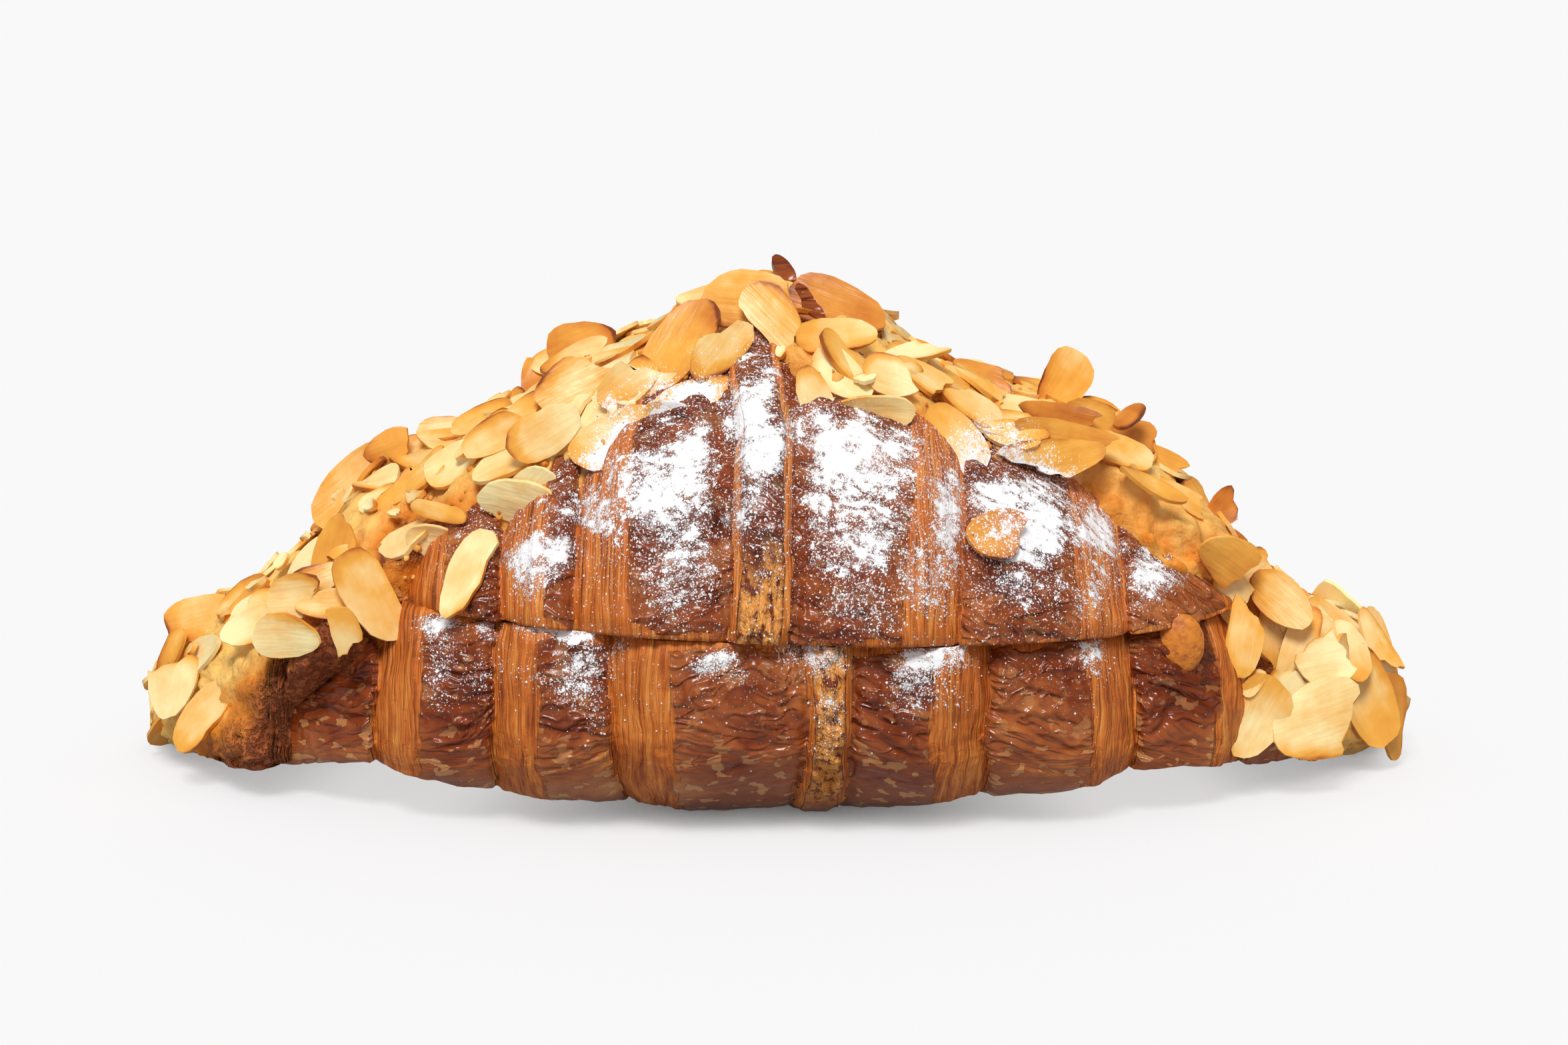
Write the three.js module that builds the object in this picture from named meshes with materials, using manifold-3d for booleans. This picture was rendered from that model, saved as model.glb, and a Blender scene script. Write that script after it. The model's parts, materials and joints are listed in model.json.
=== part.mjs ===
// Almond croissant: a roll slit level and filled, topped with almond cream and flaked almonds.
// Millimetres, +Z up. The roll lies along X, its two tips bend back towards +Y, it is seen from -Y,
// and it stands on Z = 0.
import * as THREE from "three";
import { ParametricGeometry } from "three/addons/geometries/ParametricGeometry.js";
import { mergeVertices } from "three/addons/utils/BufferGeometryUtils.js";
import Module from "manifold-3d";

const wasm = await Module();
wasm.setup();
const { clamp, degToRad, lerp, smoothstep } = THREE.MathUtils;

// Driving dimensions of the roll
const HALF_LENGTH = 86;        // dough, from the middle to a tip
const BEND = 15;               // how far the tips are set back
const HALF_WIDTH = 43;
const CREST_HEIGHT = 66;       // dough, at the middle
const TIP_HEIGHT = 14;
const BELLY = 0.34;            // height of the widest line, as a share of the crest
const SINK = 2.5;              // how far the round underside would pass below its flat foot
const WIDTH_TAPER = [2.2, 0.75];
const CREST_TAPER = [1.6, 1.45];
const TIP_BLUNTNESS = 36;
const SECTION_FULLNESS = 0.92;
const FOOT_FULLNESS = 0.8;
// How far the underside curls up from the floor: share of the way to a tip, and height
const FOOT_CURL = [
  [0.1, 0], [0.2, 2], [0.3, 3.4], [0.42, 4.6], [0.5, 6.8], [0.58, 7.2], [0.65, 6], [0.72, 4.2], [1, 3],
];

// Layers that the rolled dough shows: one strap near the middle, then steps on both sides of it.
// Each row has the strap's place along the roll, then its half width and how far from it the steps
// end towards -X and towards +X.
const UPPER_LAYERS = { strapX: -0.4, left: [3.4, 19.3, 29.2, 42], right: [3.4, 23, 43, 62] };
const LOWER_LAYERS = { strapX: 5.8, left: [2.8, 23.2, 38.3, 54], right: [2.8, 19.5, 37.5, 55] };
const STEP_HEIGHT = 3;
const STEP_EDGE = 6;           // width of the edge where a step falls
const STEP_DROP = 0.4;         // share of its height by which a step's middle lies below the plain roll
const STRAP_RISE = 2;
const UPPER_LEAN = 3;          // how much further from the strap the upper steps lie at the crest
const TIP_FADE = 14;           // the layers fade out where the roll is narrower than this
const CREST_FADE = 0.85;       // how much of their height is lost at the crest, under the cream
const CREST_FADE_RISE = [0.7, 0.95]; // sines of the angles between which they lose it

// The slit, and how the upper half sits
const SLIT_HEIGHT = 28.2;
const SLIT_TILT = degToRad(2); // lower at +X
const UPPER_TURN = degToRad(-2.5);
const UPPER_FORWARD = 1;
const UPPER_GROWTH = 1;
const CLEARANCE = 0.3;         // kept between neighbouring pieces
const TOPPING_CLEARANCE = 0.5; // kept under the topping, whose underside follows the layers

// Almond filling in the slit, with one drip that hangs out of it
const FILLING_HALF_HEIGHT = 2.4;
const FILLING_INSET = 5;
const FILLING_ROUND = 0.25;    // how blunt its ends are
const DRIP_X = 56.3;
const DRIP_WIDTH = 8;
const DRIP_LENGTH = 6.5;
const DRIP_DEPTH = 5;
const DRIP_OVERLAP = 1;        // how far the drip's top is above the slit's middle
const TONGUE_LENGTH = 28;      // from the drip back into the slit
const TONGUE_HALF_HEIGHT = 1.7;

// Almond cream on the crest and on both tips
const CREAM_LUMPS = 0.9;
const CREAM_LIP = 5;           // width over which its edge rounds down
const CREAM_BURIED = -3;       // depth of its surface below the crust where there is no cream
const BACK_COVER = 0.1;        // how much further it runs down the back
const CREAM_TIP = 4;           // how far it lengthens each tip
const LOW_CREST = 20;          // least crest height from which the width of its edge is reckoned
// Its thickness along X
const CREAM_THICKNESS = [
  [-82, 2.5], [-75, 3], [-66.5, 1], [-61, 8], [-54, 7.5], [-44, 4], [-14, 4], [14, 3.5], [20, 1.8],
  [28, 1.8], [36, 5.5], [44, 7], [58, 6], [68, 3], [80, 3.5],
];
// Its lower edge in front: X, and height as a share of the crest (below zero reaches the foot)
const CREAM_EDGE = [
  [-67, -0.5], [-61, 0.55], [-50, 0.57], [-46, 0.7], [-42, 0.78], [-34, 0.84], [-26, 0.79], [-20, 0.83],
  [-9, 0.88], [-1, 0.96], [5, 0.87], [27, 0.865], [37, 0.93], [60, 0.93], [64, 0.8], [69, -0.5],
];

// Flaked almonds
const FLAKE_SIDES = 8;
const FLAKE_THICKNESS = 1.1;
const FLAKE_ASPECT = 0.58;     // width to length, where no width is given
const FLAKE_TAPER = 0.22;      // how much narrower the pointed end is
const FLAKE_CUP = 0.07;        // rise of both ends, as a share of the length
const CUP_UP_SHARE = 0.7;      // share of the front flakes whose ends rise, not fall
const FLAKE_SINK = 1.6;        // how deep a standing flake is set in the cream
const FLAKE_LIFT = 0.6;        // how far a lying flake's middle is above the cream
const FLAKE_FACING = 0.55;     // how far a front flake turns from the cream's face towards the viewer
const STUCK_FACING = 0.1;
const STUCK_LIFT = 1.3;
const LEAST_FACING = 0.35;     // how squarely, at least, a face is taken to be seen
// The largest flakes in front, as they are seen: X, height, length, width and turn of the long side,
// and for one that stands upright its own facing
const FRONT_FLAKES = [
  [-13, 68, 14.5, 8.5, 67], [-6.6, 67, 12.5, 7, 56], [0, 70, 11, 8, -50], [-3, 75, 13.5, 8, -15],
  [9, 73, 13.5, 8, -25], [9, 68, 10.5, 5.5, 10], [11, 64, 11, 6, -52], [6, 59, 8, 4.5, -70],
  [22, 61.5, 10.5, 6, -30], [14.6, 57.5, 10, 5, -5], [-11, 59, 12, 6, 20], [-27, 68.3, 10.5, 8, 10],
  [-28, 66.5, 11.5, 6, -10], [-27, 61, 13, 8, 32], [-22, 59, 13.6, 7, 50], [-22, 53, 13, 7, 30],
  [-32, 54, 10.5, 7, 30], [-37, 50, 10.5, 7, 15], [-35, 44, 11.5, 7.5, -15],
  [-38.5, 57.5, 9.5, 5, 38], [-45, 55.5, 9.5, 6, 0], [-57.8, 49.6, 16.5, 8.5, 40], [-52, 51, 11, 5, 30],
  [-51, 47.5, 12.5, 5, 46], [-61, 38.5, 12, 9, 80], [-57, 30, 12, 8, -65], [-66, 31, 10, 6, 0],
  [-80, 28.5, 11, 6, 10], [-68, 25.5, 10, 6, -5], [-84, 19, 10.5, 7, 85], [-80, 14, 11, 8, 40],
  [31, 61.5, 11.5, 5, -30], [40.9, 62.3, 9, 8, 75, 1], [26, 53, 11, 7, -58], [34, 55, 11.5, 7, -15],
  [45, 55, 12, 7, -5], [39, 50, 16, 6, 12], [50.5, 55, 7, 6.5, 15], [55, 50, 11.5, 6.5, -20],
  [61, 45, 7, 7.5, 20], [60, 43, 13, 5, -20], [64, 36, 9, 6.5, -30], [70.5, 25, 13, 5, 85],
  [75, 22, 14, 5.5, 78], [68.5, 13.5, 11, 8, 80], [77, 12.5, 11.5, 9.5, 50], [83, 16, 13.5, 8, 75],
  [79, 28, 13, 6.5, -40], [86, 23, 12, 6, 85],
];
// The rest lie where a rule puts them, over the crest, the back and the tips
const SPREAD_FLAKES = 40;
const SPREAD_LENGTH = [9, 14];
const SPREAD_REACH = 0.95;
const SPREAD_ANGLES = [degToRad(28), degToRad(70)];
const SPREAD_STAND = 20;
// Two flakes stuck to the front of the upper half, given the same way
const STUCK_FLAKES = [
  [-42.7, 34.5, 13.5, 6.5, 65],
  [32.2, 39.2, 9, 7, 20],
];

// The viewer in front: how far above level and how far away, the point looked at, and the height
// that this point is seen at, reckoned from the foremost line of the foot
const SIGHT_TILT = degToRad(12);
const SIGHT_DISTANCE = 616;
const SIGHT_CENTRE = new THREE.Vector3(1.75, -0.7, 35.6);
const SIGHT_HEIGHT = 41.75;
const towardsViewer = new THREE.Vector3(0, -Math.cos(SIGHT_TILT), Math.sin(SIGHT_TILT));
const sightUp = new THREE.Vector3(0, Math.sin(SIGHT_TILT), Math.cos(SIGHT_TILT));

// Facets along and around each roll
const STATIONS = 60;
const END_CROWDING = 0.4;      // how far the stations crowd towards the tips
const AROUND = 26;
const FILLING_FACETS = [20, 10];
const DRIP_FACETS = [10, 7];
const SEARCH_PASSES = 6;       // steps in which a place on a surface is found
const SIMPLIFY = 0.15;
const BIG = 400;

// Pseudo-random share from 0 to 1, the same in every run
function draw(index, channel) {
  const wave = Math.sin(index * 12.9898 + channel * 78.233) * 43758.5453;
  return wave - Math.floor(wave);
}

// A closed solid from a geometry whose shared corners may still be double
function solidOf(geometry) {
  const bare = new THREE.BufferGeometry();
  bare.setAttribute("position", geometry.getAttribute("position"));
  if (geometry.index) bare.setIndex(geometry.index);
  const merged = mergeVertices(bare, 1e-4);
  const corners = merged.index.array;
  const kept = [];
  for (let i = 0; i < corners.length; i += 3) {
    const [a, b, c] = corners.subarray(i, i + 3);
    if (a !== b && b !== c && c !== a) kept.push(a, b, c);
  }
  const positions = new Float32Array(merged.getAttribute("position").array);
  const make = (triVerts) => new wasm.Manifold(
    new wasm.Mesh({ numProp: 3, vertProperties: positions, triVerts }));
  const solid = make(Uint32Array.from(kept));
  return solid.volume() > 0 ? solid : make(Uint32Array.from(kept.reverse()));
}

function geometryOf(solid) {
  const mesh = solid.getMesh();
  const geometry = new THREE.BufferGeometry();
  geometry.setAttribute("position", new THREE.BufferAttribute(mesh.vertProperties, 3));
  geometry.setIndex(new THREE.BufferAttribute(mesh.triVerts, 1));
  geometry.computeVertexNormals();
  return geometry;
}

// The one body that matters, without loose scraps and sealed hollows
function largestBody(solid) {
  const bodies = solid.simplify(SIMPLIFY).decompose();
  return bodies.reduce((best, body) => (body.volume() > best.volume() ? body : best));
}

// Half width and crest height of the dough at a station from -1 to 1
function halfWidth(station) {
  return HALF_WIDTH * (1 - Math.abs(station) ** WIDTH_TAPER[0]) ** WIDTH_TAPER[1];
}

function crestHeight(station) {
  const hump = TIP_HEIGHT
    + (CREST_HEIGHT - TIP_HEIGHT) * (1 - Math.abs(station) ** CREST_TAPER[0]) ** CREST_TAPER[1];
  return hump * Math.sqrt(1 - Math.abs(station) ** TIP_BLUNTNESS);
}

// A point of a roll. Angle 0 is its back, a quarter turn its crest and a half turn its front.
// roll.push(station, angle) moves the surface outward, roll.reach lengthens both tips, and
// roll.round leaves the underside round, without its flat foot.
function rollPoint(roll, station, angle, target = new THREE.Vector3()) {
  const halfLength = HALF_LENGTH + roll.reach;
  const top = crestHeight(station);
  const middle = BELLY * top;
  const side = Math.cos(angle);
  const rise = Math.sin(angle);
  const width = halfWidth(station) * Math.sign(side) * Math.abs(side) ** SECTION_FULLNESS;
  const height = rise >= 0
    ? (top - middle) * rise
    : -(middle + SINK) * Math.abs(rise) ** FOOT_FULLNESS;
  const grown = 1 + roll.push(station, angle) / Math.max(Math.hypot(width, height), 1);
  const slope = 2 * BEND * station;
  const across = (width * grown) / Math.hypot(slope, halfLength);
  const foot = roll.round ? -SINK : along(FOOT_CURL, Math.abs(station));
  return target.set(
    halfLength * station - slope * across,
    BEND * station ** 2 + halfLength * across,
    Math.max(middle + height * grown, foot));
}

function rollSolid(roll) {
  const place = (u, v, target) => {
    const station = lerp(2 * u - 1, Math.sin((u - 0.5) * Math.PI), END_CROWDING);
    rollPoint(roll, station, (v % 1) * 2 * Math.PI, target);
  };
  return solidOf(new ParametricGeometry(place, STATIONS, AROUND));
}

// Steps of the rolled layers: each swells outward from the strap, then falls at its edge
function layerRelief(layers, lean) {
  return (station, angle) => {
    const fromStrap = HALF_LENGTH * station - layers.strapX;
    const steps = fromStrap < 0 ? layers.left : layers.right;
    const distance = Math.abs(fromStrap);
    const fade = smoothstep(halfWidth(station), 0, TIP_FADE)
      * (1 - CREST_FADE * smoothstep(Math.sin(angle), ...CREST_FADE_RISE));
    const [strapHalf] = steps;
    if (distance < strapHalf) {
      return fade * STRAP_RISE * smoothstep(strapHalf - distance, 0, strapHalf / 2);
    }
    const offset = Math.max(distance - lean * Math.max(Math.sin(angle), 0), strapHalf);
    const next = steps.findIndex((edge) => edge > offset);
    if (next < 0) return 0;
    const start = steps[next - 1];
    const end = steps[next];
    const swell = smoothstep(offset, start - (end - start) / 2, end - STEP_EDGE);
    return fade * STEP_HEIGHT * (swell - smoothstep(offset, end - STEP_EDGE, end) - STEP_DROP);
  };
}

const upperRelief = layerRelief(UPPER_LAYERS, UPPER_LEAN);
const lowerRelief = layerRelief(LOWER_LAYERS, 0);

function slitBlock(side, gap) {
  const block = new THREE.BoxGeometry(BIG, BIG, BIG);
  block.translate(0, 0, side * (BIG / 2 + gap));
  block.rotateY(SLIT_TILT);
  block.translate(0, 0, SLIT_HEIGHT);
  return solidOf(block);
}

const upperPlace = new THREE.Matrix4().makeRotationZ(UPPER_TURN).setPosition(0, -UPPER_FORWARD, 0);

// The halves, or with growth the room that they need
function upperHalf(growth) {
  const push = (station, angle) => upperRelief(station, angle) + UPPER_GROWTH + growth;
  const roll = rollSolid({ push, reach: growth, round: false });
  return roll.transform(upperPlace.elements).intersect(slitBlock(1, CLEARANCE / 2 - growth));
}

function lowerHalf(growth) {
  const push = (station, angle) => lowerRelief(station, angle) + growth;
  const roll = rollSolid({ push, reach: growth, round: growth > 0 });
  return roll.intersect(slitBlock(-1, CLEARANCE / 2 - growth));
}

// Point on the front of the lower half at X and Z
function lowerFront(x, z) {
  const roll = { push: lowerRelief, reach: 0, round: false };
  const point = new THREE.Vector3();
  let station = x / HALF_LENGTH;
  for (let pass = 0; pass < SEARCH_PASSES; pass += 1) {
    const top = crestHeight(station);
    const rise = clamp((z - BELLY * top) / (top - BELLY * top), -1, 1);
    rollPoint(roll, station, Math.PI - Math.asin(rise), point);
    station += (x - point.x) / HALF_LENGTH;
  }
  return point;
}

// Half width of the roll in the plane of the slit
function slitHalfWidth(station) {
  const top = crestHeight(station);
  const rise = (SLIT_HEIGHT - BELLY * top) / (top - BELLY * top);
  if (!(rise < 1)) return 0;
  return halfWidth(station) * Math.sqrt(1 - rise ** 2) ** SECTION_FULLNESS;
}

// Station at which the roll is only twice the inset wide in the plane of the slit
function fillingEnd() {
  let station = 0;
  while (slitHalfWidth(station) > 2 * FILLING_INSET) station += 0.005;
  return station;
}

function filling(growth) {
  const end = fillingEnd();
  const place = (u, v, target) => {
    const share = Math.sin((u - 0.5) * Math.PI);
    const angle = (v % 1) * 2 * Math.PI;
    const round = Math.sqrt(1 - share ** 2);
    const width = Math.max(slitHalfWidth(share * end) - FILLING_INSET, 0) + growth;
    const reach = HALF_LENGTH * end + growth;
    target.set(
      reach * share,
      BEND * (share * end) ** 2 + width * round ** FILLING_ROUND * Math.cos(angle),
      (FILLING_HALF_HEIGHT + growth) * round * Math.sin(angle));
  };
  const layer = new ParametricGeometry(place, ...FILLING_FACETS);
  layer.rotateY(SLIT_TILT);
  layer.translate(0, 0, SLIT_HEIGHT);
  const slitZ = SLIT_HEIGHT - Math.tan(SLIT_TILT) * DRIP_X;
  const rim = lowerFront(DRIP_X, slitZ);
  const tongue = new THREE.SphereGeometry(1, ...DRIP_FACETS);
  tongue.scale(DRIP_WIDTH / 2 + growth, TONGUE_LENGTH / 2 + growth, TONGUE_HALF_HEIGHT + growth);
  tongue.translate(DRIP_X, rim.y + TONGUE_LENGTH / 2 - DRIP_DEPTH / 2, slitZ);
  const hang = lowerFront(DRIP_X, slitZ - DRIP_LENGTH / 2);
  const drip = new THREE.SphereGeometry(1, ...DRIP_FACETS);
  drip.scale(DRIP_WIDTH / 2 + growth, DRIP_DEPTH / 2 + growth, DRIP_LENGTH / 2 + DRIP_OVERLAP + growth);
  drip.translate(DRIP_X, hang.y - DRIP_DEPTH / 4, slitZ + DRIP_OVERLAP - DRIP_LENGTH / 2);
  return [tongue, drip].reduce((sum, piece) => sum.add(solidOf(piece)), solidOf(layer));
}

// Value at X of a line through a few stated points
function along(line, x) {
  const after = line.findIndex(([pointX]) => pointX > x);
  if (after < 0) return line.at(-1)[1];
  if (after === 0) return line[0][1];
  const [x0, value0] = line[after - 1];
  const [x1, value1] = line[after];
  return lerp(value0, value1, (x - x0) / (x1 - x0));
}

// How far a place on the roll is inside the cream's edge, in millimetres
function insideCream(station, angle) {
  const top = crestHeight(station);
  const share = Math.sin(angle) > 0 ? BELLY + (1 - BELLY) * Math.sin(angle) : BELLY * (1 + Math.sin(angle));
  const edge = along(CREAM_EDGE, HALF_LENGTH * station)
    - BACK_COVER * smoothstep(Math.cos(angle), -0.2, 0.2);
  return (share - edge) * Math.max(top, LOW_CREST);
}

function creamRise(station, angle) {
  const x = HALF_LENGTH * station;
  const lumps = Math.sin(x * 0.31 + 2 * Math.sin(angle * 3)) * Math.sin(angle * 7 + x * 0.17);
  const cover = smoothstep(insideCream(station, angle), -CREAM_LIP / 2, CREAM_LIP / 2);
  return lerp(CREAM_BURIED, along(CREAM_THICKNESS, x) + CREAM_LUMPS * lumps, cover);
}

const creamRoll = { push: creamRise, reach: CREAM_TIP, round: false };

function creamPoint(station, angle) {
  return rollPoint(creamRoll, station, angle);
}

function upperPoint(station, angle) {
  const push = (s, a) => upperRelief(s, a) + UPPER_GROWTH;
  return rollPoint({ push, reach: 0, round: false }, station, angle).applyMatrix4(upperPlace);
}

// X and height at which a point is seen
function seen(point) {
  const from = point.clone().sub(SIGHT_CENTRE);
  const scale = SIGHT_DISTANCE / (SIGHT_DISTANCE - from.dot(towardsViewer));
  return { x: SIGHT_CENTRE.x + from.x * scale, height: SIGHT_HEIGHT + from.dot(sightUp) * scale };
}

// Station and angle of a surface where it is seen at X and a height, or else at X on its skyline
function placeInSight(surface, x, height) {
  const findAngle = (station) => {
    let best = Math.PI;
    let highest = -Infinity;
    for (let angle = 1.45 * Math.PI; angle > 0.3 * Math.PI; angle -= 0.02) {
      const now = seen(surface(station, angle)).height;
      if (now >= height) return angle;
      if (now > highest) [best, highest] = [angle, now];
    }
    return best;
  };
  let station = clamp(x / HALF_LENGTH, -SPREAD_REACH, SPREAD_REACH);
  for (let pass = 0; pass < SEARCH_PASSES; pass += 1) {
    const miss = x - seen(surface(station, findAngle(station))).x;
    station = clamp(station + miss / HALF_LENGTH, -SPREAD_REACH, SPREAD_REACH);
  }
  return [station, findAngle(station)];
}

// A surface's point, its direction along the roll and its outward normal
function surfaceAt(surface, station, angle) {
  const step = 0.01;
  const axial = surface(station + step, angle).sub(surface(station - step, angle)).normalize();
  const around = surface(station, angle - step).sub(surface(station, angle + step));
  return { point: surface(station, angle), axial, normal: axial.clone().cross(around).normalize() };
}

// How far a flake's middle is above a surface, so that only its lowest edge is set in it
function flakeLift(long, wide, normal, length, width, least) {
  const reach = (Math.abs(long.dot(normal)) * length + Math.abs(wide.dot(normal)) * width) / 2;
  return Math.max(reach - FLAKE_SINK, least);
}

// Frame of a flake as it is seen in front: its long side, its wide side, its face and its centre
function frontFrame(surface, [x, height, length, width, turn], facing, least) {
  const { point, normal } = surfaceAt(surface, ...placeInSight(surface, x, height));
  const face = normal.clone().lerp(towardsViewer, facing).normalize();
  const long = sightUp.clone().multiplyScalar(Math.sin(degToRad(turn)));
  long.x = Math.cos(degToRad(turn));
  long.addScaledVector(face, -long.dot(face)).normalize();
  const wide = face.clone().cross(long);
  const missing = Math.max(height - seen(point).height, 0);
  const lift = flakeLift(long, wide, normal, length, width, least);
  point.addScaledVector(sightUp, Math.min(missing, lift));
  point.addScaledVector(towardsViewer, lift / Math.max(normal.dot(towardsViewer), LEAST_FACING));
  return new THREE.Matrix4().makeBasis(long, wide, face).setPosition(point);
}

// Frame of a flake that lies on a surface, turned, and stands up from it
function lyingFrame(surface, station, angle, length, width, turn, stand) {
  const { point, axial, normal } = surfaceAt(surface, station, angle);
  const long = axial.applyAxisAngle(normal, turn);
  const face = normal.clone().applyAxisAngle(long, stand);
  const wide = face.clone().cross(long);
  point.addScaledVector(normal, flakeLift(long, wide, normal, length, width, FLAKE_LIFT));
  return new THREE.Matrix4().makeBasis(long, wide, face).setPosition(point);
}

// One flake: an oval slice with a pointed end, cupped up or down
function flake(frame, length, width, cup, growth) {
  const slice = new THREE.CylinderGeometry(1, 1, FLAKE_THICKNESS + 2 * growth, FLAKE_SIDES);
  slice.rotateX(Math.PI / 2);
  const corners = slice.getAttribute("position");
  for (let i = 0; i < corners.count; i += 1) {
    const x = corners.getX(i);
    const y = corners.getY(i) * (1 - FLAKE_TAPER * x);
    const cupped = corners.getZ(i) + cup * length * (x ** 2 - 0.3);
    corners.setXYZ(i, x * (length / 2 + growth), y * (width / 2 + growth), cupped);
  }
  slice.applyMatrix4(frame);
  return solidOf(slice);
}

function frontFlakes() {
  return FRONT_FLAKES.map((row, index) => {
    const [, , length, width, , facing = FLAKE_FACING] = row;
    const cup = FLAKE_CUP * (draw(index, 1) < CUP_UP_SHARE ? 1 : -1);
    return flake(frontFrame(creamPoint, row, facing, FLAKE_LIFT), length, width, cup, 0);
  });
}

function spreadFlakes() {
  const golden = (Math.sqrt(5) - 1) / 2;
  const flakes = [];
  for (let index = 0; index < SPREAD_FLAKES; index += 1) {
    const station = lerp(-SPREAD_REACH, SPREAD_REACH, (index * golden) % 1);
    const angle = lerp(...SPREAD_ANGLES, (index + 0.5) / SPREAD_FLAKES);
    const length = lerp(...SPREAD_LENGTH, draw(index, 2));
    const width = length * FLAKE_ASPECT;
    const turn = draw(index, 3) * 2 * Math.PI;
    const stand = degToRad(SPREAD_STAND * (2 * draw(index, 4) - 1));
    const frame = lyingFrame(creamPoint, station, angle, length, width, turn, stand);
    if (insideCream(station, angle) > 0) flakes.push(flake(frame, length, width, FLAKE_CUP, 0));
  }
  return flakes;
}

function stuckFlakes(growth) {
  return STUCK_FLAKES.map((row) => {
    const [, , length, width] = row;
    return flake(frontFrame(upperPoint, row, STUCK_FACING, STUCK_LIFT), length, width, -FLAKE_CUP, growth);
  });
}

function topHalf() {
  const bare = upperHalf(0).subtract(filling(CLEARANCE));
  return largestBody(stuckFlakes(0).reduce((sum, piece) => sum.add(piece), bare));
}

function topping() {
  const cream = rollSolid(creamRoll);
  const heap = [...frontFlakes(), ...spreadFlakes()].reduce((sum, piece) => sum.add(piece), cream);
  const neighbours = [upperHalf, lowerHalf, filling].map((piece) => piece(TOPPING_CLEARANCE));
  neighbours.push(...stuckFlakes(TOPPING_CLEARANCE));
  const floor = new THREE.BoxGeometry(BIG, BIG, BIG);
  floor.translate(0, 0, BIG / 2 + CLEARANCE);
  const clear = neighbours.reduce((rest, piece) => rest.subtract(piece), heap);
  return largestBody(clear.intersect(solidOf(floor)));
}

function part(name, solid, color, roughness) {
  const material = new THREE.MeshStandardMaterial({ color, roughness, metalness: 0 });
  const mesh = new THREE.Mesh(geometryOf(solid), material);
  mesh.name = name;
  return mesh;
}

const croissant = new THREE.Group();
croissant.add(
  part("bottom_half", largestBody(lowerHalf(0).subtract(filling(CLEARANCE))), 0x8a4a1c, 0.45),
  part("almond_filling", largestBody(filling(0)), 0xd9902f, 0.5),
  part("top_half", topHalf(), 0x93501f, 0.5),
  part("almond_topping", topping(), 0xf0c878, 0.6),
);
const box = new THREE.Box3().setFromObject(croissant);
const middle = box.getCenter(new THREE.Vector3());
croissant.position.set(-middle.x, -middle.y, -box.min.z);

export default croissant;
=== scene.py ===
"""Looks of a filled almond croissant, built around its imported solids."""

import json
import math

import bpy
import numpy as np
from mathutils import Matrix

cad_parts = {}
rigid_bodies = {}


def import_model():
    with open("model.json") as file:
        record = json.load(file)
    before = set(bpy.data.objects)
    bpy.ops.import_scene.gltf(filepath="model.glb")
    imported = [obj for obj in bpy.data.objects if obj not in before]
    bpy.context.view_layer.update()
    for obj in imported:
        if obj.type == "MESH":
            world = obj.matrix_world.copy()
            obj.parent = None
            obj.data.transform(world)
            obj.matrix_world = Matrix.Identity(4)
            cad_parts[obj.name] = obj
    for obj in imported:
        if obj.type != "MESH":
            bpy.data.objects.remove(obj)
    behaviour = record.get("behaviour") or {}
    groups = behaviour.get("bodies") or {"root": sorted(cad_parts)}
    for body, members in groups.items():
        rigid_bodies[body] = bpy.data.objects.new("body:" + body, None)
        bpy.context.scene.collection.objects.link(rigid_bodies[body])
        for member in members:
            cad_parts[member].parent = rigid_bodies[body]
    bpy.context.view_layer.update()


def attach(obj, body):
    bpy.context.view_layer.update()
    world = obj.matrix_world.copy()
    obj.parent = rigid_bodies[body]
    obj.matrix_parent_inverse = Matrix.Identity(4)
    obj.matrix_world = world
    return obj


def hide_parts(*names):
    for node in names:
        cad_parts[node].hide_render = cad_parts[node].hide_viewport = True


bl_info = {
    "name": "Almond croissant",
    "version": (1, 0, 0),
    "blender": (4, 5, 0),
    "location": "View3D > Sidebar > Croissant",
    "description": "Builds a filled almond croissant with flaked almonds and icing sugar",
    "category": "Add Mesh",
}

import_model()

MM = 0.001
BODY = "root"
# Where the roll's own origin stands in the frame, in millimetres
ROLL_PLACE = np.array((-0.151, 0.670, 0.0))

# Shape of the roll: height of its widest line as a share of the crest, how far the round underside would
# pass below its flat foot, and how its width, crest and section fall away
BELLY = 0.34
SINK = 2.5
WIDTH_TAPER = (2.2, 0.75)
CREST_TAPER = (1.6, 1.45)
TIP_BLUNTNESS = 36
SECTION_FULLNESS = 0.92
FOOT_FULLNESS = 0.8
# How much closer together the vertices lie towards the tips
END_CROWDING = 0.4
# How far the underside curls up from the floor: share of the way to a tip, and height
FOOT_CURL = np.array((
    (0.1, 0), (0.2, 2), (0.3, 3.4), (0.42, 4.6), (0.5, 6.8), (0.58, 7.2), (0.65, 6), (0.72, 4.2), (1, 3)))
# Layers: place of the strap along the roll, then its half width and the ends of the steps on both sides
UPPER_LAYERS = (-0.4, (3.4, 19.3, 29.2, 42.0), (3.4, 23.0, 43.0, 62.0))
LOWER_LAYERS = (5.8, (2.8, 23.2, 38.3, 54.0), (2.8, 19.5, 37.5, 55.0))
# Width of a step's edge, share of its height by which its middle lies lower, rise of the strap, where the
# layers fade out, and how much further out the upper steps lie at the crest
STEP_EDGE = 6.0
STEP_DROP = 0.4
STRAP_RISE = 2.0
TIP_FADE = 14.0
CREST_FADE = 0.85
UPPER_LEAN = 3.0
# Share of a half's vertices on its outside, and the scale that gives an angle in millimetres
OUTER_SHARE = 0.92
AROUND_SCALE = 30.0
# The slit, and how the upper half sits
SLIT_TILT = math.radians(2)
UPPER_TURN = math.radians(-2.5)
UPPER_FORWARD = 1.0
UPPER_GROWTH = 1.0
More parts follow.
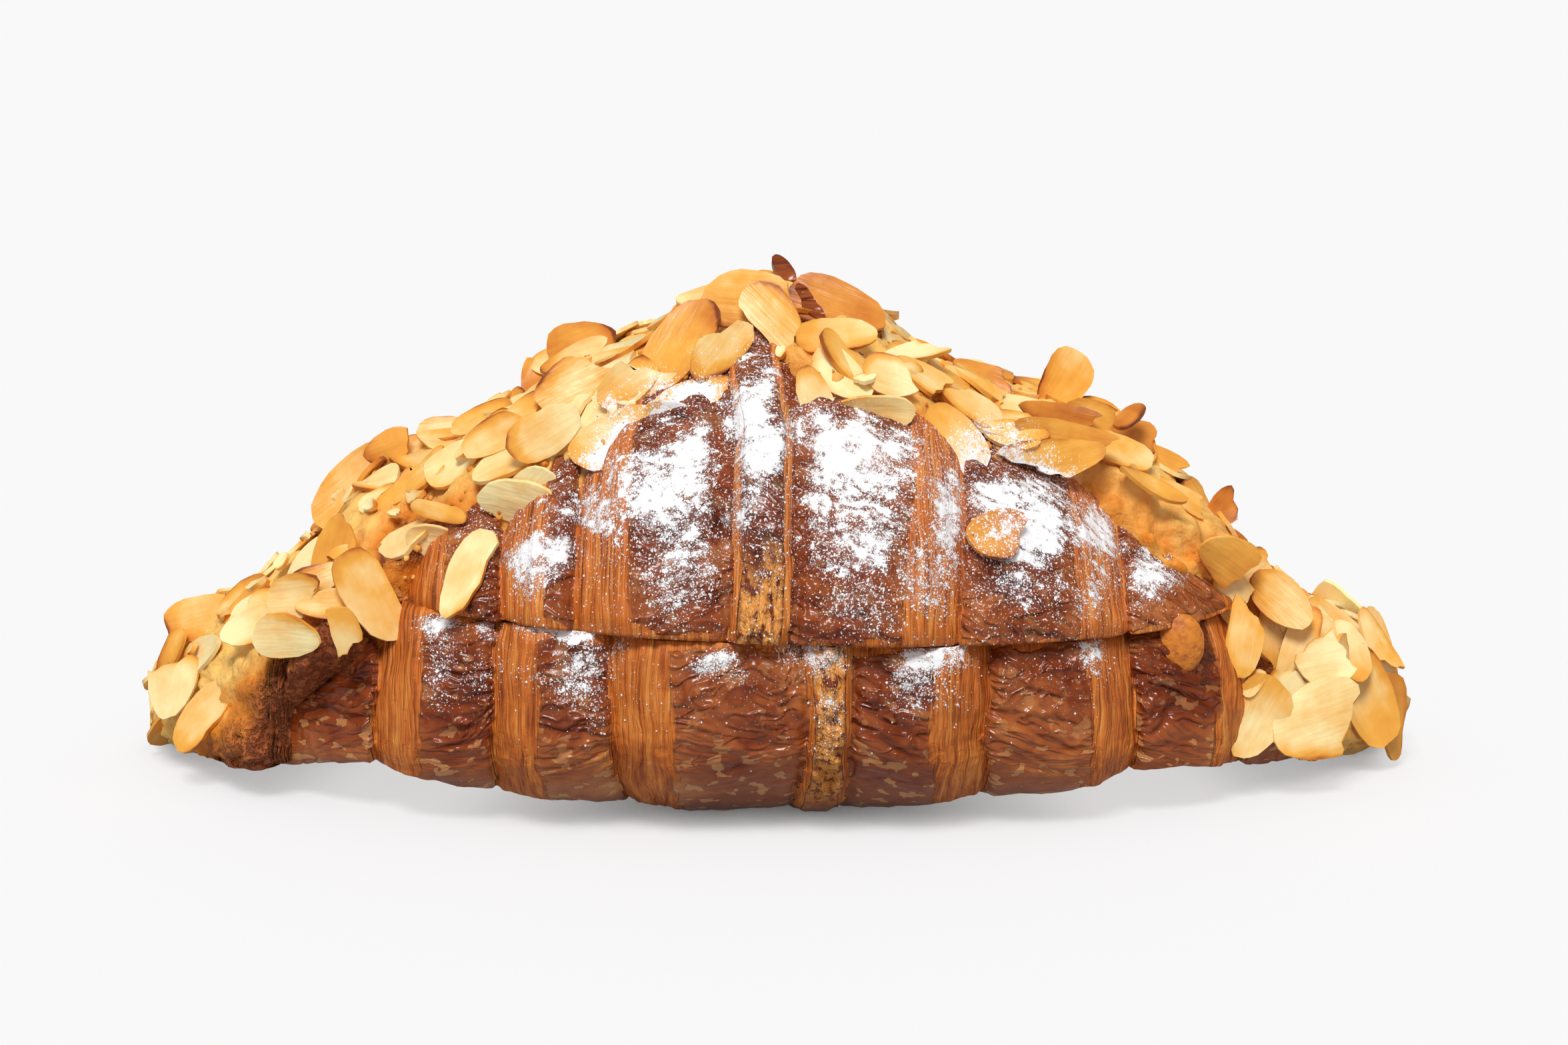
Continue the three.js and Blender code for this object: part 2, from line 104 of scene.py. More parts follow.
# Filling: its half height, how far it stays inside the slit's rim, and the grid and softening of its skin
FILLING_HALF_HEIGHT = 2.4
FILLING_INSET = 5.0
FILLING_VOXEL = 0.6
FILLING_SOFTENING = 12
# The drip's place, and how far the tongue behind it and the drip itself reach from there in X, Y and Z
DRIP_X = 56.3
TONGUE_REACH = np.array(((-4, -2.5, -1.7), (4, 25.5, 1.7)))
DRIP_REACH = np.array(((-4, -0.9, -6.8), (3, 2.6, 2.4)))
# How far below the slit the drip touches the crust, and how far it stands out there
DRIP_HANG = 3.25
DRIP_STAND = 1.25
# Cream: width of its rounded edge, depth of its surface where there is none, how much further it runs down
# the back, how far it lengthens a tip, least crest height for its edge's width, and its lumps
CREAM_LIP = 5.0
CREAM_BURIED = -3.0
BACK_COVER = 0.1
CREAM_TIP = 4.0
LOW_CREST = 20.0
CREAM_LUMPS = 0.9
# Share of its vertices on the outside, how far its cap runs past its edge, and how much deeper the
# underside lies
CREAM_OUTER_SHARE = 0.85
CREAM_MARGIN = 4.5
CREAM_UNDERSIDE = 0.3
# Mark of the cream's underside, which is never inside its edge
UNDERSIDE_MARK = -9
# Its thickness along X, and its lower edge in front as a share of the crest (below zero reaches the foot)
CREAM_THICKNESS = np.array((
    (-82, 1.5), (-75, 2), (-66, 3), (-60, 4.5), (-54, 6.5), (-44, 2.5), (-14, 1.6), (14, 2.4), (20, 1),
    (28, 1), (36, 4.8), (44, 6.2), (58, 6), (66, 2.4), (74, 0.8), (80, 2)))
CREAM_EDGE = np.array((
    (-64, -0.5), (-57.5, 0.5), (-50, 0.57), (-46, 0.7), (-42, 0.78), (-34, 0.84), (-26, 0.79), (-20, 0.83),
    (-9, 0.88), (-1, 0.96), (5, 0.87), (27, 0.865), (37, 0.93), (41, 0.92), (46, 0.86),
    (53, 0.865), (60, 0.905), (64, 0.78), (69, -0.5)))
# Toasted spots of the cream: X, height, half width, half height, strength
CREAM_TOAST = (
    (-16, 64, 2.5, 4.5, 0.85), (-51, 39, 4.5, 5, 0.65), (-57, 34, 4, 6, 0.3), (66, 37, 5, 4, 0.2),
    (50, 43, 8, 4, 0.15),
)
# The viewer in front: how far above level and how far away, the point looked at, and its height in sight
SIGHT_TILT = math.radians(12)
SIGHT_DISTANCE = 616.0
SIGHT_CENTRE = np.array((1.75, -0.7, 35.6))
SIGHT_HEIGHT = 41.75
TOWARDS_VIEWER = np.array((0.0, -math.cos(SIGHT_TILT), math.sin(SIGHT_TILT)))
SIGHT_UP = np.array((0.0, math.sin(SIGHT_TILT), math.cos(SIGHT_TILT)))
# Icing sugar in front, as it is seen: X, height, half width, half height, strength
UPPER_SUGAR = (
    (-2.2, 57, 4.2, 9, 0.85), (-2.2, 46, 3.8, 6, 0.55), (-15, 47, 8, 7.5, 0.72), (-10.5, 52, 4.5, 4.5, 0.7),
    (-20, 49, 4, 5, 0.5), (-14, 36, 8, 8, 0.44),
    (-24, 44, 4, 6, 0.7), (-33.5, 36.5, 5.5, 5, 0.85), (12, 49.5, 9.5, 7.5, 0.74), (6, 54, 5, 4, 0.75),
    (18, 53, 4.5, 4.5, 0.6), (6.5, 45, 4, 7, 0.5),
    (12, 40, 9, 6, 0.52), (12, 31, 8, 6, 0.34), (24, 45, 4.4, 8, 0.75), (35.5, 42.5, 8.5, 6.5, 0.76),
    (30.5, 46, 4.5, 4, 0.7), (41.5, 43, 4, 5, 0.5),
    (45, 40, 3.4, 6, 0.7), (53.5, 34.5, 6, 5.5, 0.62), (24, 35, 5, 6, 0.45), (35, 32, 7, 5, 0.45),
    (46, 32, 4, 5, 0.45),
)
LOWER_SUGAR = (
    (-30.5, 28.5, 5, 2.6, 1.0), (-27, 21.5, 6, 5.5, 0.42), (-47, 23, 3.6, 6, 0.34), (-47, 27, 3.5, 1.6, 0.7),
    (-40, 27, 3, 1.6, 0.6), (-38, 21, 4, 5, 0.22), (-8.8, 20, 3.2, 2.6, 0.6), (5.2, 22.8, 4.8, 2, 0.6),
    (22, 23.7, 5.5, 3.4, 0.8), (22, 18.5, 5.5, 4, 0.32), (43.5, 22.7, 2.8, 3.4, 0.55),
    (43.5, 25.6, 2, 1, 0.8), (7, 14, 3, 6, 0.25),
)
FLAKE_SUGAR = ((-12, 59, 7, 5, 1.05), (-22, 53, 5, 5, 0.7), (29, 50, 9, 5, 0.66), (38, 48, 5, 4, 0.55))
# The largest flakes in front, as they are seen: X, height, length, width, turn, and how toasted; a seventh
# value is how far the flake turns from the cream's face towards the viewer
FRONT_FLAKES = (
    (-13, 66.4, 14.5, 8.5, 67, 0.6), (-6.6, 67, 12.5, 7, 56, 0.35), (0, 70, 11, 8, -50, 0.55),
    (-3, 72.8, 13.5, 8, -15, 0.7), (9, 72, 13.5, 8, -25, 0.8), (9, 68, 10.5, 5.5, 10, 0.3),
    (11, 64, 11, 6, -52, 0.3), (6, 59, 8, 4.5, -70, 0.15), (22, 61.5, 10.5, 6, -30, 0.35),
    (14.6, 57.5, 10, 5, -5, 0.45), (-11, 59, 12, 6, 20, 0.3), (-26.3, 69.5, 10.5, 8, 10, 0.85),
    (-28, 66.5, 11.5, 6, -10, 0.5), (-27, 61, 13, 8, 32, 0.2), (-22, 59, 13.6, 7, 50, 0.15),
    (-22, 53, 13, 7, 30, 0.6), (-32, 54, 10.5, 7, 30, 0.2), (-37, 50, 10.5, 7, 15, 0.12),
    (-35, 44, 11.5, 7.5, -15, 0.08), (-38.5, 57.5, 9.5, 5, 38, 0.35), (-45, 55.5, 9.5, 6, 0, 0.5),
    (-57.8, 49.6, 16.5, 8, 40, 0.4), (-52, 51, 11, 5, 30, 0.4), (-51, 47.5, 12.5, 5, 46, 0.45),
    (-61, 37.6, 12, 8.5, 80, 0.45), (-56.8, 31.2, 13.5, 7, -62, 0.3), (-66, 31, 10, 6, 0, 0.15),
    (-80, 28.5, 11, 6, 10, 0.35), (-68, 25.5, 10, 6, -5, 0.12), (-84, 19, 10.5, 7, 85, 0.15),
    (-80, 14, 11, 8, 40, 0.25), (31, 61.5, 11.5, 5, -30, 0.5), (40.9, 62.3, 9, 7, 60, 0.5, 1.0),
    (26, 53, 11, 7, -58, 0.4), (34, 55, 11.5, 7, -15, 0.3), (45, 55, 12, 7, -5, 0.55),
    (39, 50, 16, 6, 12, 0.55), (50.5, 53.6, 7, 6, 15, 0.6), (55, 50.8, 11.5, 5, -20, 0.25),
    (62.6, 46.6, 6.5, 5, 45, 1.1, 0.9), (58, 45, 12, 3, -24, 0.2), (64, 36, 9, 6.5, -30, 0.2),
    (70.8, 25, 17.5, 4.6, 86, 0.15, 0.8), (74.2, 23.4, 13, 4.6, 73, 0.3, 0.8),
    (68.4, 14, 11.5, 8, 62, 0.35, 0.7),
    (77.6, 13.4, 15, 11, 20, 0.08, 0.7), (84, 17, 15, 7.5, -66, 0.2, 0.7), (78, 23, 10, 8, 10, 0.05, 0.8),
    (76.5, 28.8, 10, 5, -35, 0.1, 0.6), (80, 26.6, 13, 6.5, -40, 0.2), (86, 23.4, 13, 4.5, -82, 0.35, 0.7),
    (74, 16, 12, 8, 60, 0.1, 0.7), (82, 11, 11, 7, 15, 0.3, 0.7),
)
# Smaller ones between them, given the same way
SMALL_FLAKES = (
    (20, 65.3, 11, 4, 25, 0.35), (-14.3, 55.9, 6.5, 4, -10, 0.95), (-9.2, 73.4, 8, 6, 10, 0.1),
    (-32.8, 63.5, 7, 4.5, 80, 0.85), (-27, 64.7, 10.5, 4.5, 5, 0.3), (-34.4, 57.2, 9, 5, 40, 0.3),
    (-39, 53.6, 9.5, 5, 25, 0.4), (-39.6, 54.2, 8.5, 3.4, 52, 0.2),
    (-45, 54, 5, 2.6, 0, 0.95), (-30.6, 40.3, 5, 3.5, 40, 0.3),
    (-40.2, 56.4, 9, 5, 10, 0.35), (-37.4, 58, 8, 5, 20, 0.4), (-45.3, 55.5, 9, 5, 0, 0.55),
    (-53.2, 53, 8, 5, 10, 0.5), (-61.6, 48.5, 8, 5, 30, 0.4), (-58.1, 52, 8, 5, 20, 0.5),
    (-48.3, 48.7, 8.5, 6, 60, 0.4), (-46.7, 43, 7.6, 3, -20, 0.5), (-71, 30.6, 6, 4, 10, 0.35),
    (-63, 29.8, 8, 4, 0, 0.25), (-60.4, 25.2, 8.5, 6, -70, 0.35), (-87, 12.6, 8, 6, 60, 0.75),
    (-84.2, 23.5, 7, 4, 70, 0.7), (31.4, 63, 8, 4, -10, 0.6),
    (40.5, 56.6, 12, 3.4, -6, 0.95), (41.5, 53.8, 15, 4, -3, 0.5),
    (46.2, 56, 9.5, 6, -30, 0.2), (52.2, 54.4, 5.5, 3, 80, 0.8),
    (49.4, 56.4, 5, 3, 45, 1.1), (53.6, 50.4, 12, 4.4, -15, 0.2),
    (62.5, 42.8, 11, 3, -28, 0.25), (68.4, 35.1, 8, 5, -70, 0.15), (78, 24.5, 8, 5.5, -60, 0.25),
    (86.4, 24, 12, 5, -80, 0.4), (88, 14.8, 13, 5, -78, 0.4), (84, 10, 6.5, 5, 20, 0.3),
    (71.5, 30.8, 11, 6, -48, 0.1), (17, 62, 9, 5.5, -20, 0.3), (28, 58, 10, 6, -25, 0.25),
    (-39.6, 58.4, 7.5, 2.5, 25, 0.15), (-57.5, 36, 6, 3.5, 0, 0.6), (-88, 13, 6, 4, 60, 0.6),
    (37.5, 60.5, 8, 5, -20, 0.35), (34.9, 54, 10.5, 5, -10, 0.3), (53.5, 46.8, 11, 3, -20, 0.15),
    (57, 47.8, 11, 3.4, -32, 0.35), (61, 45.4, 10, 3, -36, 0.2),
    (57, 50.6, 9, 5, -40, 0.35), (29.4, 60.4, 11, 3, -30, 0.4), (67.5, 34.4, 7, 5, 30, 0.1),
    (67.6, 20, 6, 4, 60, 0.25), (66.3, 26.5, 13, 5.5, 80, 0.15, 0.8), (81, 23.5, 9, 6, -70, 0.1),
    (-19.5, 61.5, 11, 6.5, 40, 0.25), (-44, 50, 10, 6, 35, 0.2), (49, 51.5, 10, 5, -20, 0.3),
    (-73, 27, 9, 5.5, 15, 0.15), (-63, 33, 9, 6, 20, 0.15), (72, 17, 10, 6.5, 70, 0.2),
    (80, 20, 11, 6, 80, 0.2), (64.8, 31.5, 8, 5.5, -60, 0.1, 0.7),
)
# Two flakes stuck to the upper half, and the dark end of the strap at the top
STUCK_FLAKES = ((-42.7, 34.5, 13.5, 6.5, 65, 0.25), (32.2, 39.2, 9, 7, 20, 0.5))
STRAP_ENDS = ((1.7, 76.8, 6.5, 2.6, 104, 0.62), (4.6, 72.6, 8, 3, 118, 0.55))
# Flakes placed by a rule: how near a tip they lie, at which angles, how far they stand up, and their sizes
SPREAD_REACH = 0.95
SPREAD_ANGLES = (math.radians(8), math.radians(76))
SPREAD_STAND = 20
CREST_ANGLES = (math.radians(72), math.radians(97))
CREST_REACH = 0.9
CREST_STAND = 8
FILL_ANGLES = (math.radians(92), math.radians(150))
FILL_TURN = 40
FILL_STAND = 30
SPREAD_LENGTHS = (10, 16)
CREST_LENGTHS = (9, 14)
TIP_LENGTHS = (9, 13)
FILL_LENGTHS = (7, 11)
CHIP_LENGTHS = (2.2, 5)
FLAKE_ASPECT = (0.5, 0.68)
TIP_ASPECT = (0.55, 0.7)
FILL_ASPECT = (0.5, 0.7)
GOLDEN = (math.sqrt(5) - 1) / 2
# Where the blunt end of a tip starts, and how far it bulges
TIP_STATION = 0.965
TIP_DEPTH = 0.6
# How deep a standing flake is set in the cream, how far a lying one is above it, the most that a flake in
# front is raised, and how much further a burnt one is
FLAKE_SINK = 1.6
FLAKE_LIFT = 0.6
MOST_LIFT = 2.2
BURNT_LIFT = 3.0
# How far a front flake turns towards the viewer, its tilt, and how squarely, at least, a face is seen
FLAKE_FACING = 0.55
STUCK_FACING = 0.1
FLAKE_TILT = math.radians(64)
LEAST_FACING = 0.35
# Waves in a flake's rim: how many, how deep, and the draw that turns them
FLAKE_WAVES = ((2, 0.05, 12), (3, 0.04, 13), (7, 0.012, 24), (11, 0.01, 26))
# Sides of a flake, insets of its rings, the angle from which an edge is sharp, and the strap end's thickness
FLAKE_SIDES = 24
FLAKE_RINGS = (0.07, 0.2, 0.38)
SHARP_ANGLE = math.radians(42)
STRAP_THICKNESS = 1.2
# The stretch where the cream shows bare under the flakes
BARE_CREAM = (40.0, 66.0)
# Crumbs and clumps: half width of a crumb, sides of a ball, its unevenness, how far it strays from its face,
# and the share of its half width by which its middle stands out
CRUMB_SIZES = (0.2, 0.8)
CRUMB_SIDES = 8
CLUMP_SIDES = 4
BALL_UNEVENNESS = 0.5
BALL_STRAY = 0.35
BALL_STAND = 0.35
DUSTED_PIECES = ("lower_half", "upper_half", "flaked_almonds")
# Rings and sides of the round shells
LOWER_GRID = (610, 160)
UPPER_GRID = (540, 180)
FILLING_GRID = (120, 40)
DROP_GRID = (20, 32)
CREAM_GRID = (520, 170)
# Reach of the contact shadow painted into the floor's glow, and width of the camera's sensor, in millimetres
CONTACT_REACH = 7.0
SENSOR_WIDTH = 36.0
# Side of the floor and nearest distance in view, in metres
FLOOR_SIZE = 14.0
CLIP_START = 0.01


def paint_colour(code):
    """A colour written as six hexadecimal digits, as Blender's own linear values."""
    values = [int(code[i:i + 2], 16) / 255 for i in (0, 2, 4)]
    return tuple(v / 12.92 if v <= 0.04045 else ((v + 0.055) / 1.055) ** 2.4 for v in values)


def colour_setting(label, words, code):
    return bpy.props.FloatVectorProperty(
        name=label, description=words, subtype="COLOR", size=3, min=0, max=1, default=paint_colour(code))


def number_setting(label, words, value, **more):
    return bpy.props.FloatProperty(name=label, description=words, default=value, **more)


def length_setting(label, words, millimetres):
    return number_setting(label, words, millimetres * MM, unit="LENGTH", precision=4)


def count_setting(label, words, count):
    return bpy.props.IntProperty(name=label, description=words, default=count, min=1)


class RollSettings(bpy.types.PropertyGroup):
    """Sizes of the rolled and slit dough"""

    half_length: length_setting("Half length", "Dough from the middle to a tip", 86)
    half_width: length_setting("Half width", "Half of the width at the middle", 43)
    bend: length_setting("Bend", "How far the tips are set back", 15)
    crest_height: length_setting("Crest height", "Height of the dough at the middle", 66)
    tip_height: length_setting("Tip height", "Height of the dough at its tips", 14)
    slit_height: length_setting("Slit height", "Height of the slit at the middle", 28.2)
    step_height: length_setting("Step height", "Height of one step of the layers", 3)
    wrinkle_depth: length_setting("Wrinkle depth", "Depth of the wrinkles in the skin", 0.7)


class CrustSettings(bpy.types.PropertyGroup):
    """Colours of the crust"""

    # Burnt is also reached in the skin's creases, where painted shade darkens the tone
    burnt: colour_setting("Burnt", "Darkest lines of the skin", "3c150a")
    dark: colour_setting("Dark", "Skin of the browned bands", "7d3414")
    brown: colour_setting("Brown", "Skin towards the foot", "a5582a")
    light: colour_setting("Light", "Palest skin", "c8813f")
    # The deepest layer colour is painted shade in the grooves between the layers; the palest is the layers'
    # own pale colour with a painted highlight on their ridges
    layer_groove_shade: colour_setting("Layer deep", "Deep lines between the layers", "7e340e")
    layer: colour_setting("Layer", "Layers seen from their edge", "ce6c22")
    layer_pale_and_highlight: colour_setting("Layer pale", "Brightest layers", "ee9f49")
    fleck: colour_setting("Fleck", "Pale blisters of the skin", "d0935a")
    crumb: colour_setting("Crumb", "Torn crumb", "d2893f")


class AlmondSettings(bpy.types.PropertyGroup):
    """Cream, filling and flaked almonds"""

    cream: colour_setting("Cream", "Pale almond cream", "f4c36c")
    cream_gold: colour_setting("Golden cream", "Baked almond cream", "e0892c")
    cream_brown: colour_setting("Browned cream", "Browned almond cream", "a85a32")
    filling: colour_setting("Filling", "Caramel-coloured filling", "c9742f")
    ivory: colour_setting("Ivory", "Middle of a pale flake", "fde9ad")
    gold: colour_setting("Gold", "Edge of a pale flake", "f0ad47")
    toasted: colour_setting("Toasted", "Toasted flake", "cd7a2a")
    burnt: colour_setting("Burnt", "Darkest flake", "7e3a17")
    flake_thickness: length_setting("Flake thickness", "Thickness of one flake", 0.6)
    spread_flakes: count_setting("Spread flakes", "Flakes laid over the crest and the back", 230)
    crest_flakes: count_setting("Crest flakes", "Flakes that lie flat along the crest", 70)
    tip_flakes: count_setting("Tip flakes", "Flakes on the blunt end of each tip", 9)
    fill_flakes: count_setting("Fill flakes", "Flakes between the larger ones in front", 46)
    chips: count_setting("Chips", "Broken pieces of flakes", 60)
    crumbs: count_setting("Crumbs", "Crumbs at the edge of the cream", 420)


class SugarSettings(bpy.types.PropertyGroup):
    """Icing sugar"""

    colour: colour_setting("Colour", "Icing sugar", "f7f6f7")
    clumps: count_setting("Clumps", "Clumps of icing sugar", 10000)
    smallest: length_setting("Smallest", "Half width of the smallest clump", 0.05)
    largest: length_setting("Largest", "Half width of the largest clump", 0.2)


class StageSettings(bpy.types.PropertyGroup):
    """Floor, light and camera"""

    floor: colour_setting("Floor", "Plain pale floor", "8c8b8c")
    glow: number_setting("Glow", "Light that the floor gives by itself", 0.65)
    sky: number_setting("Sky", "Strength of the light from all around", 0.5)
    gloss: number_setting("Gloss", "Share of it that gloss shows", 0.25)
    key: number_setting("Key", "Strength of the soft light in front", 2.5)
    back: number_setting("Back", "Strength of the light from behind", 0.12)
    key_width: number_setting("Key width", "How wide the soft light looks", math.radians(20), subtype="ANGLE")
    lens: number_setting("Lens", "Focal length", 100, unit="CAMERA")
    distance: length_setting("Distance", "From the camera to the croissant", SIGHT_DISTANCE)
    elevation: number_setting(
        "Elevation", "How far above level the camera looks from", SIGHT_TILT, subtype="ANGLE")


class CroissantSettings(bpy.types.PropertyGroup):
    """All settings of the croissant"""

    roll: bpy.props.PointerProperty(type=RollSettings)
    crust: bpy.props.PointerProperty(type=CrustSettings)
    almond: bpy.props.PointerProperty(type=AlmondSettings)
    sugar: bpy.props.PointerProperty(type=SugarSettings)
    stage: bpy.props.PointerProperty(type=StageSettings)


def draw(index, channel):
    """Pseudo-random share from 0 to 1, the same in every run."""
    wave = math.sin(index * 12.9898 + channel * 78.233) * 43758.5453
    return wave - math.floor(wave)


def smooth(value, low, high):
    share = np.clip((value - low) / (high - low), 0, 1)
    return share * share * (3 - 2 * share)


def mix(first, second, share):
    return first + (second - first) * share


def corner_value(cells, seed):
    """A repeatable value from -1 to 1 at each whole-numbered corner."""
    mixed = cells[0] * 374761393 + cells[1] * 668265263 + cells[2] * 1442695041 + seed * 974711
    mixed = (mixed ^ (mixed >> 13)) * 1274126177
    mixed = mixed ^ (mixed >> 16)
    return (mixed & 0xFFFFFF) / 0x7FFFFF - 1


def grain(x, y, z, seed):
    """Smooth random field with features about one unit wide."""
    place = np.stack(np.broadcast_arrays(x, y, z)).astype(float)
    cell = np.floor(place).astype(np.int64)
    share = place - cell
    share = share * share * (3 - 2 * share)
    total = np.zeros(place.shape[1:])
    for corner in range(8):
        step = np.array((corner & 1, corner >> 1 & 1, corner >> 2)).reshape((3,) + (1,) * (place.ndim - 1))
        weight = np.prod(np.where(step, share, 1 - share), axis=0)
        total += weight * corner_value(cell + step, seed)
    return total


def rough_grain(x, y, z, seed, octaves=3):
    total = 0
    for octave in range(octaves):
        scale = 2.0 ** octave
        total = total + grain(x * scale, y * scale, z * scale, seed + octave) / scale
    return total


def patches(spots, x, height):
    """Strength of the strongest of several soft, uneven spots."""
    drift_x = x + 2.5 * rough_grain(x * 0.16, height * 0.16, 0, 91, 2)
    drift_height = height + 2.5 * rough_grain(x * 0.16, height * 0.16, 5, 95, 2)
    best = np.zeros_like(x)
    for spot_x, spot_height, half_width, half_height, strength in spots:
        reach = np.hypot((drift_x - spot_x) / half_width, (drift_height - spot_height) / half_height)
        best = np.maximum(best, strength * (1 - smooth(reach, 0.2, 1.5)))
    return best


def seen(places):
    """X and height at which places are seen from in front."""
    away = places - SIGHT_CENTRE
    scale = SIGHT_DISTANCE / (SIGHT_DISTANCE - away @ TOWARDS_VIEWER)
    return SIGHT_CENTRE[0] + away[:, 0] * scale, SIGHT_HEIGHT + (away @ SIGHT_UP) * scale


class Roll:
    """The rolled dough's own shape, in millimetres."""

    def __init__(self, settings):
        for name in RollSettings.__annotations__:
            setattr(self, name, getattr(settings, name) / MM)

    def width_at(self, station):
        return self.half_width * (1 - np.abs(station) ** WIDTH_TAPER[0]) ** WIDTH_TAPER[1]

    def crest_at(self, station):
        share = (1 - np.abs(station) ** CREST_TAPER[0]) ** CREST_TAPER[1]
        hump = self.tip_height + (self.crest_height - self.tip_height) * share
        return hump * np.sqrt(np.maximum(1 - np.abs(station) ** TIP_BLUNTNESS, 0))

    def slit_at(self, x):
        return self.slit_height - math.tan(SLIT_TILT) * x

    def point(self, station, angle, push, reach=0.0):
        """Places at stations from -1 to 1 and angles: 0 is the back, a quarter turn the crest."""
        half_length = self.half_length + reach
        top = self.crest_at(station)
        middle = BELLY * top
        side = np.cos(angle)
        rise = np.sin(angle)
        width = self.width_at(station) * np.sign(side) * np.abs(side) ** SECTION_FULLNESS
        below = -(middle + SINK) * np.abs(rise) ** FOOT_FULLNESS
        height = np.where(rise >= 0, (top - middle) * rise, below)
        grown = np.maximum(1 + push / np.maximum(np.hypot(width, height), 1), 0.1)
        slope = 2 * self.bend * station
        across = width * grown / np.hypot(slope, half_length)
        foot = np.interp(np.abs(station), *FOOT_CURL.T)
        x = half_length * station - slope * across
        y = self.bend * station ** 2 + half_length * across
        return np.stack((x, y, np.maximum(middle + height * grown, foot)), -1)


def seat_upper(places):
    """Turns and moves places of the plain roll to where the upper half sits."""
    x = places[:, 0] * math.cos(UPPER_TURN) - places[:, 1] * math.sin(UPPER_TURN)
    y = places[:, 0] * math.sin(UPPER_TURN) + places[:, 1] * math.cos(UPPER_TURN) - UPPER_FORWARD
    return np.stack((x, y, places[:, 2]), -1)


def layer_relief(roll, layers, station, angle, lean, wobble=0.0):
    """Height of the rolled layers, and masks: layered edges, creases, strap and the strap's middle."""
    strap_place, left, right = layers
    rise = np.sin(angle)
    from_strap = roll.half_length * station - strap_place + wobble
    distance = np.abs(from_strap)
    strap_half = np.where(from_strap < 0, left[0], right[0])
    offset = np.maximum(distance - lean * np.maximum(rise, 0), strap_half)
    start = np.zeros_like(offset)
    end = np.full_like(offset, -1.0)
    for side, steps in ((from_strap < 0, left), (from_strap >= 0, right)):
        for low, high in zip(steps, steps[1:]):
            here = side & (offset >= low) & (offset < high)
            start[here] = low
            end[here] = high
    fade = smooth(roll.width_at(station), 0, TIP_FADE) * (1 - CREST_FADE * smooth(rise, 0.7, 0.95))
    strap = STRAP_RISE * smooth(strap_half - distance, 0, strap_half / 2)
    swell = smooth(offset, start - (end - start) / 2, end - STEP_EDGE)
    step = roll.step_height * (swell - smooth(offset, end - STEP_EDGE, end) - STEP_DROP)
    in_strap = distance < strap_half
    on_step = ~in_strap & (end > 0)
    height = fade * np.where(in_strap, strap, np.where(on_step, step, 0))
    edge = np.where(on_step, smooth(offset, end - STEP_EDGE - 3.5, end - STEP_EDGE + 1.2), 0)
    crease = np.exp(-((end - offset) / 0.7) ** 2)
    crease = np.maximum(crease, 0.8 * np.exp(-((offset - start) / 0.7) ** 2))
    crease = np.where(on_step, crease, 0)
    middle = smooth(strap_half - distance, 0.6, 1.6)
    return height, edge, crease, np.where(in_strap, 1.0, 0.0), middle


def deselect():
    bpy.ops.object.select_all(action="DESELECT")


def activate(piece):
    deselect()
    piece.select_set(True)
    bpy.context.view_layer.objects.active = piece


def read_places(piece):
    values = np.empty(len(piece.data.vertices) * 3, np.float32)
    piece.data.vertices.foreach_get("co", values)
    return values.reshape(-1, 3).astype(float)


def write_places(piece, places):
    """Sets a mesh's vertices from places in the roll's millimetres."""
    values = ((places + ROLL_PLACE) * MM).astype(np.float32)
    piece.data.vertices.foreach_set("co", values.ravel())
    piece.data.update()


def write_marks(piece, marks):
    for name, values in marks.items():
        mark = piece.data.attributes.new(name, "FLOAT", "POINT")
        mark.data.foreach_set("value", np.ascontiguousarray(values, dtype=np.float32))


def read_mark(piece, name):
    values = np.empty(len(piece.data.vertices), np.float32)
    piece.data.attributes[name].data.foreach_get("value", values)
    return values.astype(float)


def round_shell(name, rings, around, shape):
    """A round primitive whose two poles become the ends of a piece; shape places each vertex."""
    deselect()
    bpy.ops.mesh.primitive_uv_sphere_add(segments=around, ring_count=rings, radius=1.0)
    piece = bpy.context.object
    piece.name = name
    piece.data.name = name
    ball = read_places(piece)
    along = 1 - np.arccos(np.clip(ball[:, 2], -1, 1)) / math.pi
    turn = np.round(np.arctan2(ball[:, 1], ball[:, 0]) / (2 * math.pi) * around) % around / around
    places, marks = shape(along, turn)
    write_places(piece, places)
    write_marks(piece, marks)
    activate(piece)
    bpy.ops.object.mode_set(mode="EDIT")
    bpy.ops.mesh.select_all(action="SELECT")
    bpy.ops.mesh.normals_make_consistent(inside=False)
    bpy.ops.object.mode_set(mode="OBJECT")
    bpy.ops.object.shade_smooth()
    return piece


def template_of(piece):
    """Takes a primitive away again, and gives its vertices and faces."""
    places = read_places(piece)
    faces = [tuple(face.vertices) for face in piece.data.polygons]
    mesh = piece.data
    bpy.data.objects.remove(piece)
    bpy.data.meshes.remove(mesh)
    return places, faces


def joined_mesh(name, places, faces, marks):
    """One object from the places, faces and marks of many small things."""
    mesh = bpy.data.meshes.new(name)
    mesh.from_pydata(((places + ROLL_PLACE) * MM).tolist(), [], faces)
    piece = bpy.data.objects.new(name, mesh)
    bpy.context.scene.collection.objects.link(piece)
    write_marks(piece, marks)
    activate(piece)
    return piece


def finish_piece(piece, material, slot, *nodes):
    piece.data.materials.clear()
    piece.data.materials.append(material)
    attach(piece, BODY)
    if nodes:
        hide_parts(*nodes)


def crowded(share):
    """Station from -1 to 1, with more of them near the tips."""
    return mix(2 * share - 1, np.sin((share - 0.5) * math.pi), END_CROWDING)


